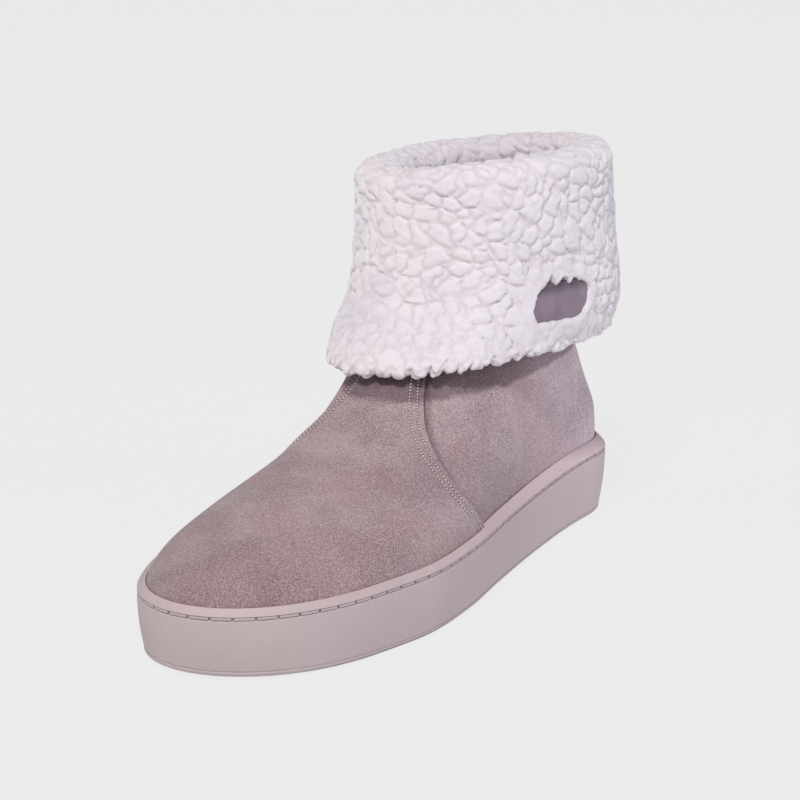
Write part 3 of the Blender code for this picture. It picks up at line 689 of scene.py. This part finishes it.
def suede_finish(piece, name):
    """Napped suede: clouds where the nap lies this way or that, and a fine light and dark speckle.

    Painted light pales it to the heel; it is darker at the toe; painted shadow lies under the hem and
    behind the seam.
    """
    shader, place = finish_of(piece, name, (0.43, 0.31, 0.32), 0.95, 0.25)
    shader.inputs["Sheen Tint"].default_value = (0.95, 0.86, 0.88, 1.0)
    shader.inputs["Specular IOR Level"].default_value = 0.1
    cloud = place.noise(38.0, 4.0, 0.55, 0.15)
    rosy = place.noise(26.0, 3.0, 0.5, 0.15).between(0.44, 0.68)
    body = cloud.between(0.34, 0.66).blend((0.272, 0.200, 0.210, 1), (0.392, 0.300, 0.310, 1))
    body = (rosy * 0.62).blend(body, (0.345, 0.212, 0.222, 1))
    speckle = place.noise(1700.0, 2.0, 0.75)
    dark = speckle.between(0.49, 0.36)
    light = speckle.between(0.52, 0.62)
    body = (dark * 0.52).blend(body, SUEDE_SPECK_DARK)
    body = (light * 0.42).blend(body, SUEDE_SPECK_LIGHT)
    lengthways = place.axis(1)
    # Painted light: paler and bluer towards the heel, as if lit from that side.
    body = lengthways.between(-0.030, 0.125).tint(body, (1.70, 1.80, 1.90))
    body = lengthways.between(-0.085, -0.130).tint(body, (0.86, 0.85, 0.85))
    # Painted shadow under the fleece hem: darker above a set height, its edge made ragged by noise.
    height = place.axis(2) + 0.003 * place.noise(170.0, 2.0)
    body = height.between(*HEM_SHADE).tint(body, (0.50, 0.47, 0.50))
    # Painted shadow behind the seam, from the painted shade attribute.
    body = place.curl().between(0.0, 1.0).tint(body, (0.62, 0.58, 0.60))
    feed(shader, "Base Color", body)
    feed(shader, "Roughness", 0.88 + cloud * 0.12)
    nap = place.noise(1700.0, 2.0, 0.7) + 0.5 * place.noise(350.0, 2.0)
    raise_grain(shader, nap, 0.0002, 0.8)


suede_finish(upper, "suede")
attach(upper, "root")
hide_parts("upper")

# Vamp: a second panel of the same suede over the toes and the instep. Its cut rear edge is the curved
# seam on both sides, sewn down with two rows of pale thread that sink a little into it.
VAMP_THICKNESS = 0.0012
GAP = 0.0003
SEAM = (
    (0.120, 0.500),
    (0.200, 0.524),
    (0.255, 0.552),
    (0.315, 0.573),
    (0.376, 0.566),
    (0.430, 0.543),
    (0.480, 0.516),
    (0.560, 0.475),
    (0.660, 0.430),
)
SEAM_ROWS = (0.0022, 0.0049)
SEAM_TOP = 0.0790
THREAD_SINK = 0.00028
EDGE_RISE = 0.00025
SEAM_SHADE = 0.0042
STITCH_PITCH = 0.0014


def seam_station(z):
    """Station of the vamp's rear edge at a height."""
    return SOLE_LENGTH * through(column(SEAM, 0), column(SEAM, 1), z / SHAFT_HEIGHT)


def angle_at(s, z):
    """Angle on the outer side at which the skin has a station."""
    back, widest, front, oval = section_at(z)
    turn = (widest - s) / np.where(s < widest, widest - back, front - widest)
    return np.arccos(np.clip(turn, -1, 1))


def seam_row(distance, side, count):
    """A line on the skin, a distance in front of the seam: angles and heights, from the lip up."""
    z = np.linspace(lip - 0.004, SEAM_TOP, count)
    turn = angle_at(seam_station(z), z)
    turn = turn if side > 0 else 2 * math.pi - turn
    edge = skin_point(turn, z)
    run = unit(np.gradient(edge, axis=0))
    by_turn = (skin_point(turn + 1e-3, z) - skin_point(turn - 1e-3, z)) / 2e-3
    by_rise = (skin_point(turn, z + 4e-4) - skin_point(turn, z - 4e-4)) / 8e-4
    forward = side * distance * unit(by_turn - (by_turn * run).sum(1, keepdims=True) * run)
    tt, tr, rr = (by_turn * by_turn).sum(1), (by_turn * by_rise).sum(1), (by_rise * by_rise).sum(1)
    ft, fr = (forward * by_turn).sum(1), (forward * by_rise).sum(1)
    scale = tt * rr - tr * tr
    return turn + (ft * rr - fr * tr) / scale, z + (fr * tt - ft * tr) / scale


def nearest(points, line):
    """Distance of each point from the nearest point of a line."""
    return np.array([np.linalg.norm(row[:, None] - line, axis=-1).min(-1) for row in points])


# Painted shadow on the upper just behind the vamp's edge, kept as the upper's painted shade attribute.
seam_lines = placed(np.concatenate([skin_point(*seam_row(-0.0004, side, 200)) for side in (1, -1)]))
corners = np.zeros(len(upper.data.vertices) * 3)
upper.data.vertices.foreach_get("co", corners)
from_seam = np.concatenate([np.linalg.norm(part[:, None] - seam_lines, axis=-1).min(1)
                            for part in np.array_split(corners.reshape(-1, 3), 60)])
seam_shadow = upper.data.attributes.new("curl", "FLOAT", "POINT")
seam_shadow.data.foreach_set("value", (1 - ease(from_seam / SEAM_SHADE)).astype(np.float32))
vamp_levels = np.concatenate([[lip - 0.0045], ridge_levels(lip - 0.002, 0.080, 110)])
start = angle_at(seam_station(vamp_levels), vamp_levels)
spread = np.linspace(0, 1, 181)
spread = spread - 0.11 * np.sin(4 * math.pi * spread) / (2 * math.pi) * 2
sheet_theta = start[:, None] + (2 * math.pi - 2 * start[:, None]) * spread
sheet_z = np.broadcast_to(vamp_levels[:, None], sheet_theta.shape)
sheet = skin_point(sheet_theta, sheet_z)
sink = np.zeros(sheet_theta.shape)
for side in (1, -1):
    for distance in SEAM_ROWS:
        from_row = nearest(sheet, skin_point(*seam_row(distance, side, 260)))
        sink += THREAD_SINK * np.exp(-(from_row / 0.0006) ** 2)
    from_edge = nearest(sheet, skin_point(*seam_row(0.0, side, 260)))
    sink -= EDGE_RISE * np.exp(-((from_edge - 0.0008) / 0.0006) ** 2)
vamp = lay("suede_vamp", skin(sheet_theta, sheet_z, GAP + VAMP_THICKNESS - sink), closed_columns=False)
thicken(vamp, 2, VAMP_THICKNESS - 0.0004)
bpy.ops.object.shade_smooth_by_angle(angle=math.radians(50))
suede_finish(vamp, "suede_vamp")
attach(vamp, "root")
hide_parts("vamp")


def thread_pattern(length, radius):
    """One stitch of thread lying along X, its ends rounded and turned down."""
    bpy.ops.object.select_all(action="DESELECT")
    upright = (0, math.pi / 2, 0)
    bpy.ops.mesh.primitive_uv_sphere_add(segments=8, ring_count=6, radius=1.0, rotation=upright)
    stitch = bpy.context.object
    bpy.ops.object.transform_apply(location=False, rotation=True, scale=False)
    stitch.scale = (length / 2, radius, radius * 0.8)
    bpy.ops.object.transform_apply(location=False, rotation=False, scale=True)
    return stitch


# Cut edges of the vamp: a thin strip along the seam on each side, the raw edge of the suede, its dark
# colour partly painted shade at the step. They close the step from the vamp down to the suede under it.
EDGE_HIGH = 0.00042
EDGE_WIDE = 0.00032
for side, name in ((1, "cut_edge_shade_outer"), (-1, "cut_edge_shade_inner")):
    angle, z_row = seam_row(-0.0002, side, 360)
    core = skin(angle, z_row, GAP + VAMP_THICKNESS * 0.35)
    out = unit(skin(angle, z_row, 0.01) - skin(angle, z_row, 0.0))
    beside = unit(np.cross(np.gradient(core, axis=0), out))
    turn = closed_round(8)[:, None, None]
    ring = EDGE_HIGH * np.cos(turn) * out + EDGE_WIDE * np.sin(turn) * beside
    edge = lay(name, np.moveaxis(core + ring, 0, 1))
    # Dark raw edge, partly painted shade along the step.
    shader, place = finish_of(edge, name, (0.12, 0.075, 0.08), 1.0)
    fuzz = place.noise(900.0, 2.0)
    mottle(shader, fuzz, (0.085, 0.052, 0.057), (0.19, 0.125, 0.13))
    raise_grain(shader, fuzz, 0.0002)
    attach(edge, "root")

# Stitches: pale thread in two rows along the seam, and between each stitch and the next a dark spot
# that paints the shade in a needle hole. They lie where the vamp is drawn in.
stitches = []
holes = []
for distance in SEAM_ROWS:
    for side in (1, -1):
        angle, z_row = seam_row(distance, side, 400)
        path = placed(skin(angle, z_row, GAP + VAMP_THICKNESS - 0.00008))
        outward = unit(placed(skin(angle, z_row, 0.01)) - placed(skin(angle, z_row, 0.0)))
        run_length = np.concatenate([[0], np.cumsum(np.linalg.norm(np.diff(path, axis=0), axis=1))])
        for spots, first in ((stitches, 1.0), (holes, 0.5)):
            at = np.arange(STITCH_PITCH * first, run_length[-1] - STITCH_PITCH / 2, STITCH_PITCH)
            centre, along = along_path(path, run_length, at)
            out = np.stack([np.interp(at, run_length, outward[:, k]) for k in range(3)], -1)
            out = unit(out - (out * along).sum(1, keepdims=True) * along)
            spots += list(zip(centre, along, np.cross(out, along), out))
needle_holes = copies("needle_holes", thread_pattern(0.00046, 0.00019), holes)
# Painted shade of the needle holes: dark spots.
shader, place = finish_of(needle_holes, "needle_holes", (0.10, 0.065, 0.07), 1.0)
mottle(shader, place.noise(900.0), (0.07, 0.045, 0.05), (0.16, 0.11, 0.115))
raise_grain(shader, place.noise(3000.0, 2.0), 0.0001)
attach(needle_holes, "root")
thread = copies("seam_thread", thread_pattern(0.0009, 0.00025), stitches)
shader, place = finish_of(thread, "thread", (0.60, 0.50, 0.49), 0.8, 0.2)
mottle(shader, place.noise(300.0), (0.58, 0.48, 0.48), (0.80, 0.71, 0.70))
raise_grain(shader, place.noise(4000.0, 2.0), 0.0001)
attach(thread, "root")

# Fleece cuff: curly sherpa fleece, the shaft's own lining turned out over the fold. Its curls clump to
# soft irregular cushions with thin creases between them, and they hang ragged over the hem.
FLEECE = 0.0060
FLEECE_TOP = 0.0042
FLEECE_INSIDE = 0.0044
FLEECE_DEPTH = 0.0300
HEM_LOBES = 46
HEM_HANG = 0.0032
CLUMP_SIZE = 0.0070
BACKING = SUEDE + 0.0004
FLEECE_COLUMNS = 524
OUTER_ROWS = 104
PATCH_LENGTH = 0.0340
PATCH_HEIGHT = 0.0150
PATCH_LEVEL = 0.0929
PATCH_ANGLE = 0.622 * math.pi
# Window in the fleece over the patch: half its length and height, and how its corners are cut.
WINDOW_LONG = 0.0140
WINDOW_HIGH = 0.0056
WINDOW_CORNER = 0.0034
WINDOW_DEPTH = 0.0042


def flap_point(theta, z, offset):
    """Point at a distance from the shaft's side of the flap."""
    hem = hem_height(theta)
    gap = flap_gap(theta, (z - hem) / (fold_height(theta) - hem))
    return skin(theta, z, gap + offset, False)


def curls(points, size, seed):
    """Distance to the nearest two curls, in curl sizes, and the nearest one's own number."""
    own_numbers = np.random.default_rng(seed).random((4099, 4))
    q = points / size
    base = np.floor(q).astype(int)
    first = np.full(q.shape[:-1], 9.0)
    second = first.copy()
    own = np.zeros(q.shape[:-1])
    for step in itertools.product((-1, 0, 1), repeat=3):
        cell = base + step
        row = own_numbers[(cell @ (73, 1579, 2833)) % 4099]
        distance = np.linalg.norm(cell + row[..., :3] - q, axis=-1)
        nearer = distance < first
        second = np.where(nearer, first, np.minimum(second, distance))
        own = np.where(nearer, row[..., 3], own)
        first = np.where(nearer, distance, first)
    return first, second, own


def drift(points, size, seed):
    """A slow wandering of points, so that the curls aren't regular."""
    turns = np.random.default_rng(seed).uniform(0, 2 * math.pi, (3, 3))
    moved = np.zeros(points.shape)
    for k in range(3):
        a, b, c = turns[k]
        x, y, z = np.moveaxis(points / size, -1, 0)
        moved[..., k] = np.sin(x + 1.7 * y + a) + np.sin(1.3 * y - 1.9 * z + b)
        moved[..., k] += np.sin(1.6 * z + 1.1 * x + c)
    return moved


def pile_height(points, size, seed):
    """Relief of the fleece, 0 in creases and about 1 on clumps, and how open a crease is, 0 to 1."""
    warped = points + 0.26 * size * drift(points, 1.6 * size, seed)
    warped = warped + 0.05 * size * drift(points, 0.24 * size, seed + 7)
    first, second, own = curls(warped, size, seed)
    edge = np.clip((second - first) / 0.46, 0, 1)
    cushion = 1 - (1 - edge) ** 2.8
    sub_first, sub_second, _ = curls(warped + 0.37 * size, size * 0.62, seed + 1)
    sub_edge = np.clip((sub_second - sub_first) / 0.45, 0, 1)
    split = (1 - sub_edge) ** 3 * ease((own - 0.35) / 0.3)
    height = cushion * (0.66 + 0.34 * own) - 0.24 * split * cushion
    crease_mark = np.maximum((1 - edge) ** 3, 0.5 * split)
    return height, crease_mark


def lobes(theta, count, seed):
    """Uneven round lobes side by side all round, each with a size of its own."""
    rng = np.random.default_rng(seed)
    width = rng.uniform(0.6, 1.5, count)
    ends = np.concatenate([[0.0], np.cumsum(width)]) / width.sum() * 2 * math.pi
    k = np.clip(np.searchsorted(ends, theta, side="right") - 1, 0, count - 1)
    t = (theta - ends[k]) / (ends[k + 1] - ends[k])
    return np.sqrt(np.sin(math.pi * np.clip(t, 0, 1))) * rng.uniform(0.45, 1.0, count)[k]


theta = closed_round(FLEECE_COLUMNS)
fold = fold_height(theta)
hem = hem_height(theta)
low = hem - 0.0002 - HEM_HANG * lobes(theta, HEM_LOBES, 17)
# Rings: down the backing to the hem, up the pile outside, over the fold, down inside, up the backing.
grid = []
lift = []
for share in np.linspace(1, 0.02, 7):
    grid.append(flap_point(theta, hem + (fold - hem) * share, BACKING + 0 * theta))
    lift.append(0.0)
for turn in np.radians(np.linspace(0, 180, 13))[:-1]:
    thick = FLEECE * 0.80 * (1 - math.cos(turn)) / 2
    grid.append(flap_point(theta, low + 0.0010 - 0.0022 * math.sin(turn), BACKING + thick + 0 * theta))
    lift.append(min(1.0, 0.25 + thick / FLEECE * 1.6))
outside = (7, len(grid) + OUTER_ROWS)
for share in np.linspace(0.0, 1.0, OUTER_ROWS):
    thick = FLEECE * (0.80 + 0.20 * float(ease(share / 0.14)))
    thick = thick + 0.0009 * np.sin(2 * theta + 0.6) * math.sin(math.pi * share)
    grid.append(flap_point(theta, low + 0.0010 + (fold - low - 0.0010) * share, BACKING + thick))
    lift.append(1.0)
out_reach = FOLD_GAP + BACKING + FLEECE
in_reach = BACKING + FLEECE_INSIDE
rise = FOLD_GAP / 2 + BACKING + FLEECE_TOP
for turn in np.radians(np.linspace(0, 180, 38))[1:-1]:
    bow = math.copysign(abs(math.cos(turn)) ** 0.8, math.cos(turn))
    offset = (out_reach - in_reach) / 2 + (out_reach + in_reach) / 2 * bow
    grid.append(rim(theta, offset + 0 * theta, rise * math.sin(turn) ** 0.8))
    lift.append(1.0)
bottom = SHAFT_HEIGHT - FLEECE_DEPTH
for share in np.linspace(0, 1, 24):
    deep = BACKING + FLEECE_INSIDE * (1 - 0.35 * share ** 3)
    grid.append(skin(theta, fold + (bottom - fold) * share, -deep, False))
    lift.append(1.0 if share < 0.99 else 0.5)
for share in (1.0, 0.5, 0.0):
    grid.append(skin(theta, fold + (bottom - fold) * share, -BACKING, False))
    lift.append(0.0)
for turn in np.radians([135, 90, 45]):
    reach = FOLD_GAP / 2 + BACKING
    grid.append(rim(theta, FOLD_GAP / 2 + reach * math.cos(turn) + 0 * theta, reach * math.sin(turn)))
    lift.append(0.0)
grid = np.array(grid)
lift = np.array(lift)[:, None] * np.ones(FLEECE_COLUMNS)

closed = np.concatenate([grid[:, -1:], grid, grid[:, :1]], 1)
sideways = closed[:, 2:] - closed[:, :-2]
upward = np.gradient(grid, axis=0)
outward = unit(np.cross(sideways, upward))
clump, crease_mark = pile_height(grid, CLUMP_SIZE, 5)
turned = np.stack([grid[..., 2], grid[..., 0], grid[..., 1]], -1)
swell = drift(turned, 0.013, 11)[..., 0] / 3

turn = 0.05
ends = np.array([PATCH_ANGLE - turn, PATCH_ANGLE + turn])
behind, ahead = flap_point(ends, np.full(2, PATCH_LEVEL), BACKING + FLEECE)
metres = float(np.linalg.norm(ahead - behind)) / (2 * turn)
beside_a = (theta - PATCH_ANGLE) * metres + 0.0010
patch_middle = flap_point(theta, np.full_like(theta, PATCH_LEVEL), BACKING + FLEECE)[:, 2]
above = grid[..., 2] - patch_middle - 0.0002
past_end = np.abs(beside_a)[None] - WINDOW_LONG
past_side = np.abs(above) - WINDOW_HIGH
window = np.maximum(past_end, past_side)
window = np.maximum(window, (past_end + past_side + WINDOW_CORNER) * 0.7)
droop = drift(turned, 0.0021, 43)[..., 1] / 3
window = window + 0.0030 * droop * ease((above + 0.004) / 0.006) + 0.0006 * (clump - 0.45)
rows = np.arange(len(grid))
on_outside = (rows >= outside[0]) & (rows < outside[1])
inside_window = (1 - ease(window / 0.0012)) * on_outside[:, None]
collar_round = (np.exp(-((window - 0.0024) / 0.0018) ** 2)) * on_outside[:, None]
height = 0.0017 * clump + 0.0005 * swell - 0.0009
near_window = (1 - ease((window - 0.0055) / 0.003)) * on_outside[:, None]
height = height + (0.0006 + 0.55 * np.maximum(height + 0.0002, 0) - height) * near_window
height = height * (1 - inside_window) - WINDOW_DEPTH * inside_window + 0.0006 * collar_round
grid = grid + (height * lift)[..., None] * outward
# Painted shade deep in the creases between clumps, outside the window, carried as an attribute.
cuff = lay("fleece_cuff", grid, closed_rows=True, curl=crease_mark * (1 - inside_window))


def fleece_finish(piece, name, has_painted_shade):
    """Off-white fleece with a pink tinge, and painted shade, darker and warmer, deep between its clumps
    where the mesh carries it.
    """
    shader, place = finish_of(piece, name, (0.84, 0.79, 0.81), 1.0, 0.4)
    shader.inputs["Specular IOR Level"].default_value = 0.05
    cloud = place.noise(30.0, 2.0)
    body = cloud.between(0.35, 0.65).blend((0.745, 0.692, 0.745, 1), (0.805, 0.748, 0.778, 1))
    if has_painted_shade:
        # Painted shade, darker and warmer, in the creases.
        body = (place.curl().between(0.12, 0.95) * 0.28).blend(body, (0.600, 0.480, 0.510, 1))
    fluff = place.noise(420.0, 3.0, 0.6)
    body = (fluff.between(0.48, 0.28) * 0.22).blend(body, (0.640, 0.560, 0.600, 1))
    feed(shader, "Base Color", body)
    raise_grain(shader, fluff + 0.5 * place.noise(1300.0, 2.0, 0.6), 0.0005, 0.8)


fleece_finish(cuff, "fleece", True)
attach(cuff, "root")
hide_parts("cuff_fleece")

# Lining: the same fleece with a shorter pile, glued inside the foot and the shaft below the cuff. Its
# clumps are smaller and flatter than the cuff's.
LINING = 0.0026
theta = closed_round(300)
wall_side = np.concatenate([[0.0178], ridge_levels(lip, 0.1015, 26)[1:]])
wall_side[-1] = 0.1000
pile_side = np.concatenate([ridge_levels(lip, 0.1015, 96)[::-1][1:], [0.0205, 0.0178]])
inside = [skin(theta, z, -SUEDE - 0.0003) for z in wall_side]
pile = np.array([skin(theta, z, -SUEDE - LINING) for z in pile_side])
clump = pile_height(pile, 0.0052, 23)[0]
inward = unit(np.array([skin(theta, z, -SUEDE - LINING - 0.001) for z in pile_side]) - pile)
pile = pile + (0.0012 * clump - 0.0006)[..., None] * inward
lining = lay("fleece_lining", np.concatenate([np.array(inside), pile]), closed_rows=True)
fleece_finish(lining, "fleece_lining", False)
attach(lining, "root")

# Footbed: a foam sole under short pile, lying on the cup's floor inside the lining. It is a little
# dished, and its edge is rounded down.
FOOTBED_TOP = CUP_FLOOR + 0.0043
FOOTBED_FOAM = 0.0036
stations = SOLE_LENGTH * (1 - np.cos(np.linspace(0.0, math.pi, 141))) / 2
ends = skin(np.array([0.0, math.pi]), FOOTBED_TOP, -SUEDE - 0.0008)[:, 1]
stations = ends[0] + (ends[1] - ends[0]) * stations / SOLE_LENGTH
outer_x = skin(closed_round(720)[:361], FOOTBED_TOP, -SUEDE - 0.0008)
inner_x = skin(2 * math.pi - closed_round(720)[:361], FOOTBED_TOP, -SUEDE - 0.0008)
right = np.interp(stations, outer_x[:, 1], outer_x[:, 0])
left = np.interp(stations, inner_x[:, 1], inner_x[:, 0])
share = np.linspace(0, 1, 49)[None, :]
bed_x = left[:, None] + (right - left)[:, None] * share
bed = np.stack(np.broadcast_arrays(bed_x, stations[:, None], FOOTBED_TOP + 0 * bed_x), -1)
dish = 0.0012 * (2 * share - 1) ** 4 - 0.0008
clump = pile_height(bed, 0.0048, 31)[0]
edge_round = np.minimum(share, 1 - share) * (right - left)[:, None]
bed[..., 2] += (dish + 0.0006 * clump) * ease(edge_round / 0.003)
footbed = lay("footbed", bed, closed_columns=False)
thicken(footbed, 2, FOOTBED_FOAM)
bpy.ops.object.shade_smooth_by_angle(angle=math.radians(45))
fleece_finish(footbed, "footbed_pile", False)
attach(footbed, "root")
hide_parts("insole")

# Patch: a bare piece of thin leather on the outer side of the cuff. The fleece closes over its edges,
# and painted shadow under the fleece darkens its upper part.
PATCH_CORNER = 0.0030
PATCH_THICKNESS = 0.0012
PATCH_OFFSET = BACKING + 0.0042 + GAP
across_steps = np.sin(np.linspace(-math.pi / 2, math.pi / 2, 57))
a = across_steps * PATCH_LENGTH / 2
drop = np.clip(PATCH_CORNER - (PATCH_LENGTH / 2 - np.abs(a)), 0, PATCH_CORNER)
b = PATCH_HEIGHT / 2 - PATCH_CORNER + np.sqrt(PATCH_CORNER ** 2 - drop ** 2)
b_rows = np.sin(np.linspace(-math.pi / 2, math.pi / 2, 31))[:, None] * b
patch_theta = PATCH_ANGLE + a / metres + 0 * b_rows
patch_z = PATCH_LEVEL + b_rows
patch_top = flap_point(patch_theta, patch_z, PATCH_OFFSET + PATCH_THICKNESS)
patch = lay("side_patch", patch_top, closed_columns=False)
thicken(patch, 0, PATCH_THICKNESS)
soft_edge = patch.modifiers.new("soft edge", "BEVEL")
soft_edge.width = 0.0003
soft_edge.segments = 2
soft_edge.limit_method = "ANGLE"
soft_edge.angle_limit = math.radians(50)
bpy.ops.object.modifier_apply(modifier="soft edge")
bpy.ops.object.shade_smooth_by_angle(angle=math.radians(40))
shader, place = finish_of(patch, "patch_leather", (0.27, 0.21, 0.25), 0.7, 0.1)
cloud = place.noise(120.0, 3.0)
body = cloud.between(0.3, 0.7).blend((0.210, 0.158, 0.200, 1), (0.275, 0.212, 0.266, 1))
# Painted shadow under the fleece's overhang: the upper part darker.
height = place.axis(2) + 0.002 * place.noise(260.0, 2.0)
body = height.between(PATCH_LEVEL + 0.0030, PATCH_LEVEL + 0.0080).tint(body, (0.45, 0.42, 0.45))
feed(shader, "Base Color", body)
feed(shader, "Roughness", 0.62 + cloud * 0.2)
raise_grain(shader, place.noise(1300.0, 3.0, 0.6), 0.00015)
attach(patch, "root")
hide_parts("patch")

# Floor and light: a pale plain floor that glows, so that it stays even, a soft lamp high in front and a
# weak broad one on each side.
FLOOR_GLOW = 0.79
bpy.ops.object.select_all(action="DESELECT")
bpy.ops.mesh.primitive_plane_add(size=14.0)
floor = bpy.context.object
floor.name = "floor"
floor.location = (0.0, 0.0, -0.0002)
shader, place = finish_of(floor, "pale_floor", (0.05, 0.05, 0.05), 1.0)
shader.inputs["Specular IOR Level"].default_value = 0.0
shader.inputs["Emission Color"].default_value = (1.0, 1.0, 1.0, 1.0)
shader.inputs["Emission Strength"].default_value = FLOOR_GLOW

world = bpy.data.worlds.new("studio")
world.use_nodes = True
world.node_tree.nodes["Background"].inputs["Color"].default_value = (0.985, 0.985, 1.0, 1.0)
world.node_tree.nodes["Background"].inputs["Strength"].default_value = 0.24
bpy.context.scene.world = world
bpy.context.scene.view_settings.view_transform = "Standard"


def lamp(name, place, size, power, colour):
    """A soft rectangular lamp that looks at the middle of the boot."""
    light = bpy.data.lights.new(name, "AREA")
    light.size = size
    light.energy = power
    light.color = colour
    holder = bpy.data.objects.new(name, light)
    bpy.context.collection.objects.link(holder)
    back = unit(np.array(place) - (0.0, 0.0, 0.07))
    right = unit(np.cross((0.0, 0.0, 1.0), back))
    holder.matrix_world = Matrix([(*row, spot) for row, spot in zip(
        np.stack([right, np.cross(back, right), back], 1), place)] + [(0, 0, 0, 1)])


lamp("key", (0.34, -1.10, 1.46), 0.24, 20.5, (1.0, 0.975, 0.965))
lamp("right", (1.7, 0.2, 0.8), 1.2, 10.0, (0.84, 0.86, 1.0))
lamp("left", (-1.5, -0.9, 0.9), 1.2, 7.0, (0.95, 0.96, 1.0))

# Camera: at the photograph's angle, with its small shift of the frame. The values were fitted to the
# outline of the sole.
AZIMUTH = math.radians(28.39)
ELEVATION = math.radians(14.48)
ROLL = math.radians(0.422)
DISTANCE = 1.217259
LENS = 154.25
SENSOR = 36.0
SHIFT = (0.02234, 0.01459)
level_back = np.array([math.sin(AZIMUTH), -math.cos(AZIMUTH), 0.0])
back = level_back * math.cos(ELEVATION) + (0.0, 0.0, math.sin(ELEVATION))
right = np.array([math.cos(AZIMUTH), math.sin(AZIMUTH), 0.0])
up = np.cross(back, right)
target = placed(np.array([0.0, SOLE_LENGTH / 2, 0.060]))
camera = bpy.data.objects.new("camera", bpy.data.cameras.new("camera"))
bpy.context.collection.objects.link(camera)
across_view = right * math.cos(ROLL) + up * math.sin(ROLL)
up_view = up * math.cos(ROLL) - right * math.sin(ROLL)
axes = np.stack([across_view, up_view, back], 1)
spot = target + back * DISTANCE
camera.matrix_world = Matrix([(*row, value) for row, value in zip(axes, spot)] + [(0, 0, 0, 1)])
camera.data.lens = LENS
camera.data.sensor_width = SENSOR
camera.data.shift_x, camera.data.shift_y = SHIFT
bpy.context.scene.camera = camera
